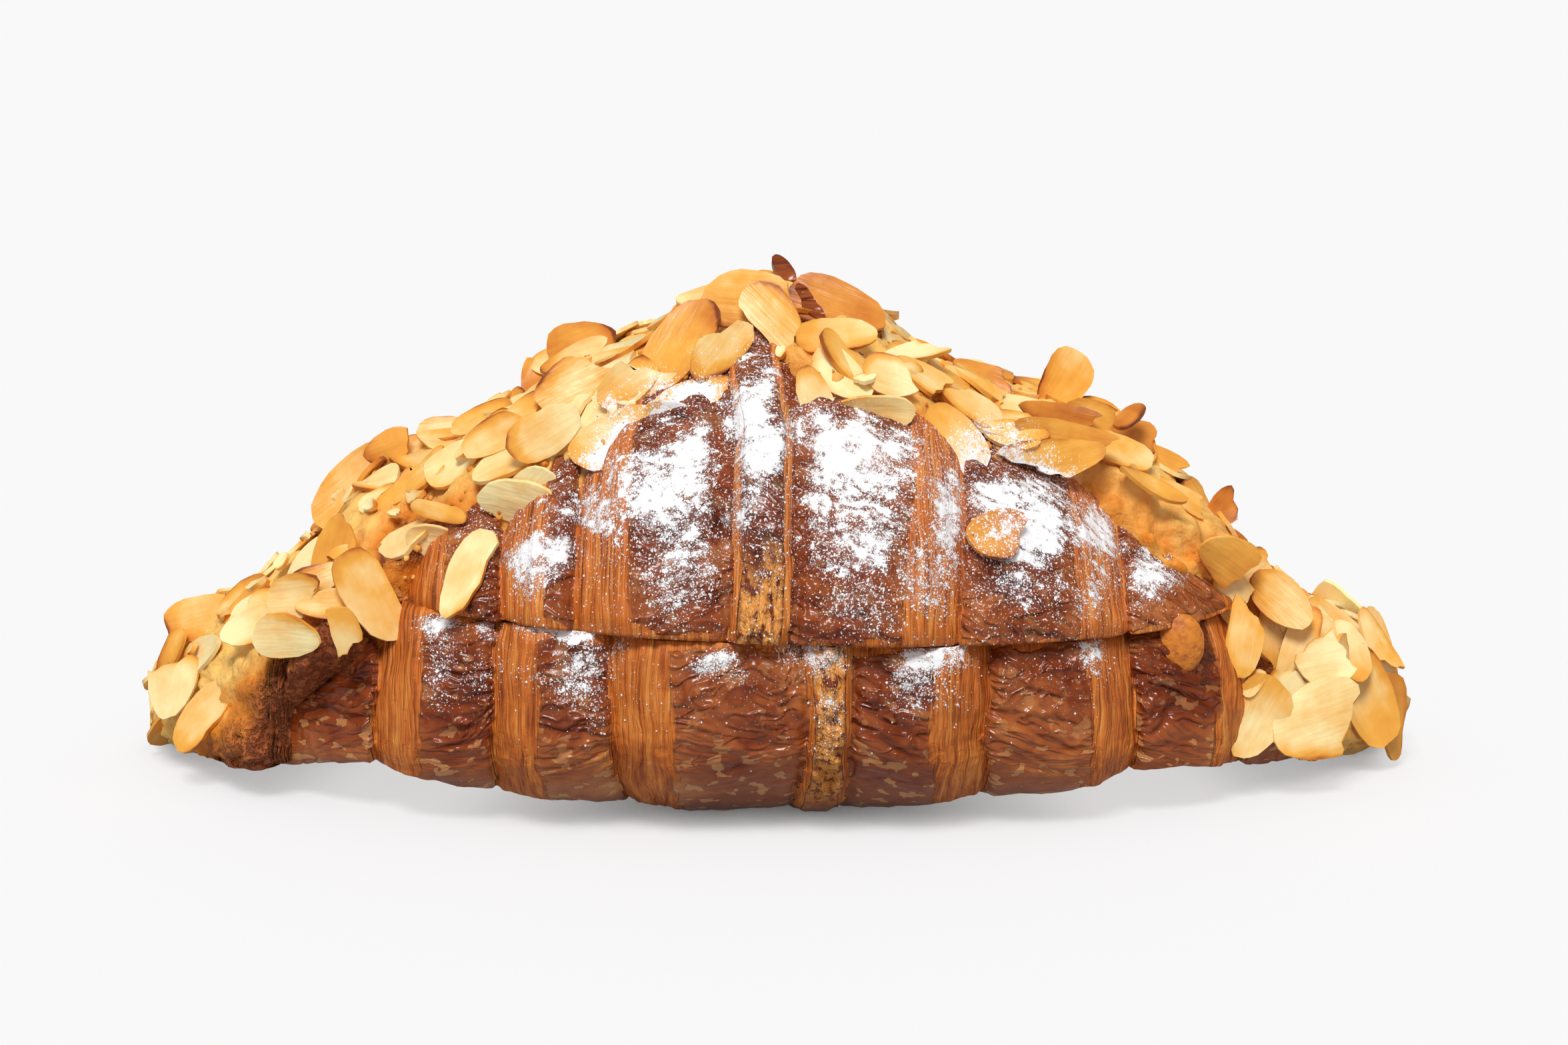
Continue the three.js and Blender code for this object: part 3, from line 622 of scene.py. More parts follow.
def half_shape(roll, upper):
    """Shape of one half of the slit roll, as a rule for round_shell."""
    layers = UPPER_LAYERS if upper else LOWER_LAYERS
    lean = UPPER_LEAN if upper else 0.0
    growth = UPPER_GROWTH if upper else 0.0
    seed = 11 if upper else 47
    scan = np.linspace(-0.999, 0.999, 4001)
    above = scan[roll.crest_at(scan) + growth > roll.slit_at(roll.half_length * scan) + 0.8]
    ends = (above.min(), above.max()) if upper else (-1.0, 1.0)

    def shape(along, turn):
        station = mix(ends[0], ends[1], (crowded(along) + 1) / 2)
        axial = roll.half_length * station
        top = roll.crest_at(station) + growth
        middle = BELLY * roll.crest_at(station)
        rise = np.clip((roll.slit_at(axial) - middle) / np.maximum(top - middle, 0.01), -1, 1)
        back = np.arcsin(rise)
        front = math.pi - back
        share = np.clip(turn / OUTER_SHARE, 0, 1)
        if upper:
            angle = back + (front - back) * np.interp(share, (0, 0.28, 0.45, 1), (0, 0.3, 0.6, 1))
            gap = np.minimum(angle - back, front - angle) * AROUND_SCALE
        else:
            spread = np.interp(share, (0, 0.55, 0.72, 1), (0, 0.22, 0.75, 1))
            angle = front + (2 * math.pi + back - front) * spread
            gap = np.minimum(angle - front, 2 * math.pi + back - angle) * AROUND_SCALE
        around = angle * AROUND_SCALE

        # Layers, the torn middle of the strap, and the worn lip of the slit
        wobble = 1.6 * grain(axial * 0.05, around * 0.07, 0, seed)
        wobble = wobble + 0.4 * grain(axial * 0.1, around * 0.3, 0, seed + 1)
        height, edge, crease, strap, strap_middle = layer_relief(roll, layers, station, angle, lean, wobble)
        if not upper:
            height = height * (1 - 0.55 * smooth(-np.sin(angle), 0.3, 0.8))
        plain = roll.point(station, angle, height + growth)
        sight = seen(plain)[1]
        torn = strap * strap_middle
        if upper:
            torn = torn * (1 - smooth(sight + 3 * grain(axial * 0.5, around * 0.2, 1, seed), 33, 39))
        else:
            torn = torn * smooth(plain[:, 2], 2, 6)
        lip = 1 - smooth(gap, 0, 2.4)
        worn = smooth(lip + 0.5 * grain(axial * 0.3, 0, 7, seed), 0.45, 0.9)
        layered = np.clip(edge + strap * (1 - strap_middle) + 0.7 * worn, 0, 1) * (1 - torn)
        skin = np.clip(1 - layered - torn, 0, 1)

        # Wrinkles of the skin, strands of the layers and pits of the torn crumb
        warp = grain(axial * 0.12, around * 0.12, 0, seed + 2)
        folds = np.abs(grain(axial * 0.13 + warp, around * 0.36 + 1.6 * warp, 0, seed + 3))
        fine_folds = np.abs(grain(axial * 0.3 + warp, around * 0.72 + 2 * warp, 3, seed + 4))
        wrinkled = skin * (1.0 if upper else 0.25 + 0.75 * smooth(plain[:, 2], 6, 15))
        pillows = 1.6 * np.minimum(folds, 0.5) + 0.8 * np.minimum(fine_folds, 0.5) - 0.7
        detail = wrinkled * roll.wrinkle_depth * pillows
        strands = grain(axial * 1.3, around * 0.07, 3, seed + 5)
        strands = strands + 0.7 * grain(axial * 2.2, around * 0.1, 5, seed + 6)
        detail += layered * 0.25 * strands - 0.9 * crease * (1 - torn)
        pits = smooth(grain(axial * 0.6, around * 0.4, 9, seed + 7), 0.0, 0.4)
        detail += torn * (0.2 * strands - 1.3 * pits)
        detail += 0.1 * rough_grain(axial * 0.8, around * 0.8, 2, seed + 8)
        detail -= 0.8 * lip ** 2

        # The outside, and the cut that closes the half along the slit
        places = roll.point(station, angle, height + growth + detail)
        slit = roll.slit_at(places[:, 0])
        ragged = 0.02 + (-0.5 if upper else 0.15) * np.maximum(grain(axial * 0.35, 0, 2, seed + 9) + 0.3, 0)
        inner = turn > OUTER_SHARE
        across = np.clip((turn - OUTER_SHARE) / (1 - OUTER_SHARE), 0, 1)[:, None]
        rim_front = roll.point(station, front, growth - 1.1)
        rim_back = roll.point(station, back, growth - 1.1)
        cut = mix(rim_front, rim_back, across) if upper else mix(rim_back, rim_front, across)
        room = np.minimum(across, 1 - across)[:, 0] * np.abs(rim_back[:, 1] - rim_front[:, 1])
        hollow = 0.03 + 2.5 * smooth(room, 2.5, 8)
        cut_slit = roll.slit_at(cut[:, 0])
        if upper:
            places[:, 2] = np.maximum(places[:, 2], slit + ragged)
            cut[:, 2] = np.maximum(np.minimum(cut_slit + hollow, top), cut_slit + ragged)
        else:
            places[:, 2] = np.minimum(places[:, 2], slit - ragged)
            cut[:, 2] = np.minimum(cut_slit - hollow, cut[:, 2])
        places[inner] = cut[inner]
        if upper:
            places = seat_upper(places)

        # Sugar and toast
        x, sight = seen(places)
        facing = smooth(-np.cos(angle), -0.25, 0.2)
        spots = patches(UPPER_SUGAR if upper else LOWER_SUGAR, x, sight)
        reach = 1 - smooth(np.abs(x - 6), 44, 62)
        dust = reach * (0.08 + 0.16 * smooth(sight, 27, 42) if upper else 0.05 * smooth(places[:, 2], 8, 24))
        drifts = 0.3 + 0.6 * rough_grain(axial * 0.09, around * 0.09, 4, 5, 2)
        behind = (1 - facing) * smooth(np.sin(angle), 0.15, 0.8) * np.maximum(drifts, 0)
        sugar = np.maximum(facing * np.maximum(spots, dust), behind * (1 if upper else 0.4))
        sugar = sugar * (1 - 0.2 * layered) * (1 - 0.5 * crease) * (1 - inner)
        # The lower half pales towards its foot: partly its own lighter bake, partly painted light standing in
        # for light thrown up by the floor
        low = smooth(places[:, 2], 5, 19)
        bulge = smooth(height, -0.8, 1.5)
        amber = smooth(-x, 40, 50) + 0.7 * smooth(x, 50, 60)
        tone = 0.46 + 0.14 * bulge - 0.22 * amber if upper else 0.3 + 0.24 * low + 0.12 * bulge
        toast = tone + 0.2 * rough_grain(axial * 0.07, around * 0.09, 6, seed + 10)
        # Painted shade: the toast mark rises in the wrinkles' folds and falls on their ridges
        toast = toast - 0.18 * (pillows + 0.1) * wrinkled
        marks = {
            "layered": np.where(inner, 0, layered),
            "torn": np.maximum(torn, inner),
            "toast": np.clip(toast, 0, 1),
            "sugar": np.clip(sugar, 0, 1.2),
            "fleck": np.zeros_like(toast) + (0.2 if upper else 1 - 0.7 * low),
            "along": axial,
            "around": around,
        }
        return places, marks

    return shape


class Value:
    """One output of a material's nodes, so that values combine as plain expressions."""

    def __init__(self, paint, socket):
        self.paint = paint
        self.socket = socket

    def math(self, operation, first, second=0.0):
        return self.paint.node("ShaderNodeMath", {"operation": operation}, {0: first, 1: second})

    def __add__(self, other):
        return self.math("ADD", self, other)

    def __radd__(self, other):
        return self.math("ADD", other, self)

    def __sub__(self, other):
        return self.math("SUBTRACT", self, other)

    def __rsub__(self, other):
        return self.math("SUBTRACT", other, self)

    def __mul__(self, other):
        return self.math("MULTIPLY", self, other)

    def __pow__(self, other):
        return self.math("POWER", self, other)

    def __abs__(self):
        return self.math("ABSOLUTE", self)

    def smooth(self, low, high):
        return self.paint.node(
            "ShaderNodeMapRange", {"interpolation_type": "SMOOTHSTEP"},
            {"Value": self, "From Min": low, "From Max": high}, "Result")


class Paint:
    """A material under construction."""

    def __init__(self, name):
        self.material = bpy.data.materials.new(name)
        self.material.use_nodes = True
        self.tree = self.material.node_tree
        self.tree.nodes.clear()
        self.shader = self.tree.nodes.new("ShaderNodeBsdfPrincipled")
        end = self.tree.nodes.new("ShaderNodeOutputMaterial")
        self.tree.links.new(self.shader.outputs[0], end.inputs["Surface"])

    def node(self, kind, settings, inputs, output=0):
        """Adds a node: its settings first, then the values or links of its sockets."""
        node = self.tree.nodes.new(kind)
        for name, value in settings.items():
            if name == "stops":
                self.set_stops(node.color_ramp, value)
            else:
                setattr(node, name, value)
        for key, value in inputs.items():
            self.feed(node.inputs[key], value)
        return Value(self, node.outputs[output])

    def set_stops(self, ramp, stops):
        while len(ramp.elements) < len(stops):
            ramp.elements.new(1.0)
        for element, (position, colour) in zip(ramp.elements, stops):
            element.position = position
            element.color = (*colour, 1.0)

    def feed(self, socket, value):
        if isinstance(value, Value):
            self.tree.links.new(value.socket, socket)
        elif socket.type == "RGBA":
            socket.default_value = (*value[:3], 1.0)
        else:
            socket.default_value = value

    def shade(self, inputs):
        for name, value in inputs.items():
            self.feed(self.shader.inputs[name], value)

    def mark(self, name):
        return self.node("ShaderNodeAttribute", {"attribute_name": name}, {}, "Fac")

    def place(self):
        return self.node("ShaderNodeTexCoord", {}, {}, "Object")

    def vector(self, x, y, z):
        return self.node("ShaderNodeCombineXYZ", {}, {0: x, 1: y, 2: z})

    def noise(self, vector, scale, detail=2.0, roughness=0.5):
        return self.node("ShaderNodeTexNoise", {}, {
            "Vector": vector, "Scale": scale, "Detail": detail, "Roughness": roughness})

    def streaks(self, along, across, depth, detail=2.0, roughness=0.5):
        """Noise over places that are given in millimetres along and across a piece."""
        return self.noise(self.vector(along, across, depth), 1.0, detail, roughness)

    def cells(self, vector, scale):
        return self.node("ShaderNodeTexVoronoi", {}, {"Vector": vector, "Scale": scale}, "Distance")

    def ramp(self, value, *stops):
        return self.node("ShaderNodeValToRGB", {"stops": stops}, {0: value})

    def blend(self, share, first, second):
        return self.node("ShaderNodeMix", {"data_type": "RGBA"}, {0: share, 6: first, 7: second}, 2)

    def bump(self, height, strength=1.0, under=None):
        """A normal from heights in millimetres."""
        inputs = {"Height": height, "Distance": MM, "Strength": strength}
        if under is not None:
            inputs["Normal"] = under
        return self.node("ShaderNodeBump", {}, inputs, "Normal")

    def sugar_mask(self, cover, drift):
        """Share of white: crumbly where the sugar is thick, single specks and a veil where it is thin."""
        place = self.place()
        coarse = self.noise(place, 900.0, 3.0, 0.6)
        fine = self.noise(place, 2900.0, 2.0, 0.6)
        level = drift * 0.26 + coarse * 0.36 + fine * 0.38
        heaps = (cover ** 0.55 * 0.34 + 0.27 - level).smooth(-0.012, 0.03)
        specks = (fine + cover ** 0.5 * 0.24 - 0.7).smooth(0.0, 0.05) * cover.smooth(0.0, 0.08)
        thin = specks * 0.85 + (1 - specks) * cover.smooth(0.1, 0.9) * 0.12
        return heaps + (1 - heaps) * thin, level


def darker(colour, share):
    return tuple(value * share for value in colour)


def crust_material(settings):
    paint = Paint("browned_crust")
    colours = settings.crust
    along = paint.mark("along")
    around = paint.mark("around")
    torn = paint.mark("torn")
    sway = paint.streaks(along * 0.22, around * 0.11, 5.0, 2.0)
    strands = paint.streaks(along * 1.35 + sway * 2.4, around * 0.08, 0.0, 3.0, 0.6)
    threads = paint.streaks(along * 3.6 + sway * 6, around * 0.16, 4.0, 2.0)
    strands = strands * 0.62 + threads * 0.38
    border = paint.streaks(along * 1.1, around * 0.22, 7.0, 3.0, 0.6)
    mottle = paint.noise(paint.place(), 210.0, 4.0, 0.6)
    edge = paint.mark("layered")
    layered = (edge + (border - 0.5) * 0.6).smooth(0.52, 0.74)
    # The layers' colour follows the strands that also raise their bump: painted shade in the grooves, painted
    # highlight on the ridges
    layers = paint.ramp(
        strands + (mottle - 0.5) * 0.16, (0.32, colours.layer_groove_shade), (0.5, colours.layer),
        (0.68, colours.layer_pale_and_highlight))
    warp = paint.streaks(along * 0.13, around * 0.13, 1.0, 2.0)
    broad = paint.streaks(along * 0.16 + warp * 2, around * 0.42 + warp * 3, 0.0, 0.0)
    close = paint.streaks(along * 0.4 + warp * 3, around * 0.7 + warp * 4, 2.0, 0.0)
    folds = abs(broad - 0.5)
    pillows = folds.smooth(0.0, 0.15) * 0.6 + abs(close - 0.5).smooth(0.0, 0.15) * 0.4
    flecked = paint.mark("fleck")
    wrinkled = 1.04 - flecked
    # Painted shade: the creases darken the skin's tone along the wrinkles' folds, where the bump also sinks
    creases = (1 - folds.smooth(0.0, 0.05)) * 0.22 + (1 - abs(close - 0.5).smooth(0.0, 0.05)) * 0.12
    tone = paint.mark("toast") + (creases - 0.1) * wrinkled + (mottle - 0.5) * 0.7 - edge * 0.22
    skin = paint.ramp(
        tone, (0.0, colours.light), (0.28, colours.brown),
        (0.62, colours.dark), (1.0, colours.burnt))
    blisters = paint.streaks(along * 0.4, around * 0.36, 3.0, 2.0, 0.5)
    flecks = blisters.smooth(0.575, 0.6) * flecked
    skin = paint.blend(flecks * 0.85, skin, colours.fleck)
    hollow = paint.vector(along * 1.1 + border * 1.4, around * 0.75 + border, 8.0)
    walls = paint.noise(hollow, 1.0, 3.0, 0.55).smooth(0.3, 0.7)
    # The torn crumb's colour follows the walls that also raise its bump: painted shade in its hollows,
    # darkest in the pits, and a painted highlight on the walls
    pit_shade = darker(colours.layer_groove_shade, 0.7)
    crumb = paint.ramp(
        walls, (0.0, pit_shade), (0.14, colours.layer_groove_shade),
        (0.36, colours.crumb), (0.64, colours.layer_pale_and_highlight))
    surface = paint.blend(layered, skin, layers)
    surface = paint.blend(torn, surface, crumb)
    drift = paint.streaks(along * 0.3, around * 0.62, 6.0, 3.0)
    white, level = paint.sugar_mask(paint.mark("sugar"), drift + (0.6 - pillows) * 0.4)
    colour = paint.blend(white, surface, settings.sugar.colour)
    glazed = (1 - layered) * (1 - torn) * (1 - white)
    roughness = 0.14 + mottle * 0.16 + layered * 0.3 + torn * 0.35 + white * 0.5
    heights = pillows * glazed * wrinkled * 0.75 + strands * layered * (1.2 - white)
    heights = heights + walls * torn * 0.6 + flecks * 0.12
    normal = paint.bump(white * (1.1 - level) * 0.5, 0.4, paint.bump(heights))
    paint.shade({
        "Base Color": colour, "Roughness": roughness, "Normal": normal, "Specular IOR Level": 0.4})
    return paint.material


def cream_material(settings):
    paint = Paint("baked_cream")
    colours = settings.almond
    place = paint.place()
    crumb = paint.noise(place, 420.0, 4.0, 0.6)
    patch = paint.noise(place, 120.0, 3.0, 0.55)
    toast = paint.mark("toast")
    tone = toast + (crumb - 0.5) * 0.5 + (patch - 0.5) * 0.5
    colour = paint.ramp(
        tone, (0.0, colours.cream), (0.4, colours.cream_gold), (1.0, colours.cream_brown))
    # Where the cream is toasted, its low pores are darkened: painted shade in the pores over the cream's own
    # browned colour
    pores = paint.noise(place, 1100.0, 3.0, 0.6).smooth(0.38, 0.56)
    toasted = toast.smooth(0.4, 0.9)
    deep = darker(colours.cream_brown, 0.4)
    colour = paint.blend((1 - pores) * toasted * 0.55, colour, deep)
    white, level = paint.sugar_mask(paint.mark("sugar"), paint.noise(place, 330.0, 2.0))
    colour = paint.blend(white, colour, settings.sugar.colour)
    normal = paint.bump(crumb * 0.8 + pores * toasted * 0.6 + white * 0.3)
    paint.shade({
        "Base Color": colour, "Roughness": 0.6 + white * 0.3, "Normal": normal, "Specular IOR Level": 0.2,
        "Subsurface Weight": 0.25, "Subsurface Radius": (1.0, 0.6, 0.3), "Subsurface Scale": 1.5 * MM})
    return paint.material


def flake_material(settings):
    paint = Paint("flaked_almond")
    colours = settings.almond
    along = paint.mark("along")
    across = paint.mark("across")
    streaks = paint.streaks(along * 0.1, across * 0.8, 0.0, 3.0, 0.55)
    cloud = paint.streaks(along * 0.16, across * 0.16, 3.0, 3.0, 0.55)
    rim = paint.mark("rim") + (cloud - 0.5) * 0.3
    tone = paint.mark("toast") * 0.62 + rim.smooth(0.45, 1.0) * 0.25 + rim.smooth(0.86, 1.0) * 0.34
    tone = tone + (cloud - 0.5) * 0.65 + (streaks - 0.5) * 0.14
    colour = paint.ramp(
        tone, (0.05, colours.ivory), (0.4, colours.gold),
        (0.75, colours.toasted), (1.0, colours.burnt))
    white, level = paint.sugar_mask(paint.mark("sugar"), paint.noise(paint.place(), 330.0, 2.0))
    colour = paint.blend(white, colour, settings.sugar.colour)
    normal = paint.bump(streaks * 0.2 + cloud * 0.3)
    normal = paint.bump(white * (1.1 - level) * 0.5, 0.3, normal)
    paint.shade({
        "Base Color": colour, "Roughness": 0.36 + white * 0.5, "Normal": normal, "Specular IOR Level": 0.35,
        "Subsurface Weight": 0.12, "Subsurface Radius": (1.0, 0.65, 0.3), "Subsurface Scale": 0.7 * MM})
    return paint.material


def filling_material(settings):
    paint = Paint("almond_filling")
    grainy = paint.noise(paint.place(), 700.0, 4.0, 0.65)
    pores = paint.cells(paint.place(), 900.0).smooth(0.1, 0.5)
    caramel = settings.almond.filling
    deep = darker(caramel, 0.4)
    # The filling's colour follows the grain and pores that also shape its bump, darkest where they lie low:
    # partly its own uneven colour, partly painted shade in its hollows
    colour = paint.ramp(
        grainy + pores * 0.1, (0.2, deep), (0.5, caramel), (0.75, settings.almond.cream_gold))
    paint.shade({
        "Base Color": colour, "Roughness": 0.4 + grainy * 0.2, "Specular IOR Level": 0.3,
        "Normal": paint.bump(grainy * 0.25 + pores * 0.1)})
    return paint.material


def sugar_material(settings):
    paint = Paint("icing_sugar")
    cloud = paint.noise(paint.place(), 900.0, 2.0)
    white = settings.sugar.colour
    grey = darker(white, 0.9)
    paint.shade({"Base Color": paint.ramp(cloud, (0.3, grey), (0.6, white)), "Roughness": 0.9})
    return paint.material


def cream_rise(roll, station, angle, crumbly=False):
    """Height of the cream's surface over the plain roll, and how far a place is inside its edge."""
    x = roll.half_length * station
    rise = np.sin(angle)
    share = np.where(rise > 0, BELLY + (1 - BELLY) * rise, BELLY * (1 + rise))
    edge = np.interp(x, *CREAM_EDGE.T) - BACK_COVER * smooth(np.cos(angle), -0.2, 0.2)
    tall = np.maximum(roll.crest_at(station), LOW_CREST)
    steep = (np.interp(x + 1.5, *CREAM_EDGE.T) - np.interp(x - 1.5, *CREAM_EDGE.T)) / 3 * tall
    inside = (share - edge) * tall / np.hypot(1, steep)
    if crumbly:
        inside = inside + 1.0 * rough_grain(x * 0.25, angle * 7, 1, 71, 3)
    cover = smooth(inside, -CREAM_LIP / 2, CREAM_LIP / 2)
    lumps = np.sin(x * 0.31 + 2 * np.sin(angle * 3)) * np.sin(angle * 7 + x * 0.17)
    height = mix(CREAM_BURIED, np.interp(x, *CREAM_THICKNESS.T) + CREAM_LUMPS * lumps, cover)
    if crumbly:
        rough = 0.9 * rough_grain(x * 0.35, angle * 10, 2, 73, 3)
        pits = smooth(grain(x * 0.8, angle * 22, 5, 79), 0.2, 0.6)
        height = height + cover * (rough - 0.7 * pits)
    return height, inside


def cream_surface(roll):
    def surface(station, angle):
        return roll.point(station, angle, cream_rise(roll, station, angle)[0], CREAM_TIP)

    return surface


def upper_surface(roll):
    def surface(station, angle):
        height = layer_relief(roll, UPPER_LAYERS, station, angle, UPPER_LEAN)[0]
        return seat_upper(roll.point(station, angle, height + UPPER_GROWTH))

    return surface


def cream_shape(roll):
    """The cream as a closed cap: its outside, then its underside a little below the crust."""

    def edge_angle(share):
        rise = np.where(share > BELLY, (share - BELLY) / (1 - BELLY), share / BELLY - 1)
        return np.arcsin(np.clip(rise, -1, 1))

    def shape(along, turn):
        station = crowded(along)
        x = roll.half_length * station
        low = np.interp(x, *CREAM_EDGE.T) - CREAM_MARGIN / np.maximum(roll.crest_at(station), LOW_CREST)
        back = edge_angle(low - BACK_COVER)
        front = math.pi - edge_angle(low)
        outer = turn < CREAM_OUTER_SHARE
        share = np.where(outer, turn / CREAM_OUTER_SHARE, (1 - turn) / (1 - CREAM_OUTER_SHARE))
        angle = mix(back, front, np.where(outer, np.interp(share, (0, 0.4, 1), (0, 0.5, 1)), share))
        height, inside = cream_rise(roll, station, angle, True)
        push = np.where(outer, height, np.minimum(height, CREAM_BURIED) - CREAM_UNDERSIDE)
        places = roll.point(station, angle, push, CREAM_TIP)
        places[~outer, 2] += CREAM_UNDERSIDE
        seen_x, sight = seen(places)
        facing = smooth(-np.cos(angle), -0.25, 0.2)
        toast = 0.25 * (1 - smooth(inside, 0, 6)) + facing * patches(CREAM_TOAST, seen_x, sight)
        lip = 0.78 * (seen_x + 79.5) - 0.63 * (sight - 8) + 1.5 * rough_grain(x * 0.2, angle * 5, 6, 87)
        toast += facing * smooth(-seen_x, 55, 60) * smooth(lip, -6, 3) * 0.85
        toast += 0.04 + 0.12 * rough_grain(x * 0.1, angle * 3, 8, 83)
        sugar = 0.7 * facing * patches(FLAKE_SUGAR, seen_x, sight)
        inside = np.where(outer, inside, UNDERSIDE_MARK)
        return places, {"toast": np.clip(toast, 0, 1.1), "sugar": sugar, "inside": inside}

    return shape


def place_in_sight(roll, surface, x, height):
    """Station and angle of a surface where it is seen at X and a height, or else at X on its skyline."""
    angles = np.arange(1.45, 0.3, -0.0064) * math.pi
    station = float(np.clip(x / roll.half_length, -SPREAD_REACH, SPREAD_REACH))
    index = 0
    for _ in range(8):
        seen_x, sight = seen(surface(np.full_like(angles, station), angles))
        reached = sight >= height
        index = int(np.argmax(reached)) if reached.any() else int(np.argmax(sight))
        miss = x - seen_x[index]
        station = float(np.clip(station + miss / roll.half_length, -SPREAD_REACH, SPREAD_REACH))
    return station, float(angles[index])


def unit(vector):
    return vector / np.linalg.norm(vector)


def turned(vector, axis, angle):
    """A vector turned about an axis."""
    return (vector * math.cos(angle) + np.cross(axis, vector) * math.sin(angle)
            + axis * np.dot(axis, vector) * (1 - math.cos(angle)))


def surface_at(surface, station, angle):
    """A surface's place, its direction along the roll and its outward normal."""
    step = 0.01
    stations = np.array((station + step, station - step, station, station, station))
    angles = np.array((angle, angle, angle - step, angle + step, angle))
    ahead, behind, towards, away, here = surface(stations, angles)
    axial = unit(ahead - behind)
    return here, axial, unit(np.cross(axial, towards - away))


def flake_lift(long_side, wide_side, normal, length, width):
    reach = (abs(long_side @ normal) * length + abs(wide_side @ normal) * width) / 2
    return max(reach - FLAKE_SINK, FLAKE_LIFT)


def front_frame(roll, surface, row, facing, lift, tilt=0.0):
    """Long side, wide side, face and centre of a flake as it is seen in front."""
    x, height, length, width, turn = row[:5]
    here, _, normal = surface_at(surface, *place_in_sight(roll, surface, x, height))
    face = unit(mix(normal, TOWARDS_VIEWER, facing))
    long_side = np.array((math.cos(math.radians(turn)), 0, 0)) + SIGHT_UP * math.sin(math.radians(turn))
    long_side = unit(long_side - face * (long_side @ face))
    face = turned(face, long_side, tilt)
    wide_side = np.cross(face, long_side)
    raised = min(flake_lift(long_side, wide_side, normal, length, width), MOST_LIFT) + lift
    missing = max(height - seen(here[None])[1][0], 0)
    here = here + SIGHT_UP * min(missing, raised)
    nearer = TOWARDS_VIEWER * raised / max(normal @ TOWARDS_VIEWER, LEAST_FACING)
    return long_side, wide_side, face, here + nearer


def lying_frame(surface, station, angle, length, width, turn, stand, lift):
    """The same for a flake that lies on a surface, turned, and stands up from it."""
    here, axial, normal = surface_at(surface, station, angle)
    long_side = turned(axial, normal, turn)
    face = turned(normal, long_side, stand)
    wide_side = np.cross(face, long_side)
    raised = flake_lift(long_side, wide_side, normal, length, width) + lift
    return long_side, wide_side, face, here + normal * raised


def tip_frame(surface, index, count):
    """The same for a flake on the blunt end of a tip: even ones on the left, odd ones on the right."""
    side = 2 * (index % 2) - 1
    angles = np.linspace(0, 2 * math.pi, 24, endpoint=False)
    ring = surface(np.full(24, side * TIP_STATION), angles)
    centre = ring.mean(axis=0)
    share = math.sqrt((index // 2 + 0.5) / count)
    out = ring[(index * 9 + index // 3) % 24] - centre
    if side < 0 < out[2]:
        out = out * 0.6
    end = np.array((side, 0.0, 0.0))
    sway = 0.25 * np.array((0, draw(index, 55) - 0.5, draw(index, 56) - 0.5))
    face = unit(mix(end, unit(out), 0.7 * share ** 2) + sway)
    long_side = unit(np.cross(face, turned(np.array((0.0, 0.0, 1.0)), end, 6.3 * draw(index, 57))))
    place = centre + out * share * 0.85 + end * (TIP_DEPTH + 0.6 * draw(index, 58)) * (1 - share ** 4)
    return long_side, np.cross(face, long_side), face, place


def flake_template():
    """One flat disc with rings, modelled once: its vertices and faces."""
    deselect()
    bpy.ops.mesh.primitive_circle_add(vertices=FLAKE_SIDES, radius=1.0, fill_type="NGON")
    disc = bpy.context.object
    bpy.ops.object.mode_set(mode="EDIT")
    bpy.ops.mesh.select_mode(type="FACE")
    bpy.ops.mesh.select_all(action="SELECT")
    for inset in FLAKE_RINGS:
        bpy.ops.mesh.inset(thickness=inset)
    bpy.ops.mesh.poke()
    bpy.ops.mesh.select_all(action="SELECT")
    bpy.ops.mesh.extrude_region_move(TRANSFORM_OT_translate={"value": (0, 0, 1)})
    bpy.ops.mesh.select_all(action="SELECT")
    bpy.ops.mesh.normals_make_consistent(inside=False)
    bpy.ops.object.mode_set(mode="OBJECT")
    return template_of(disc)


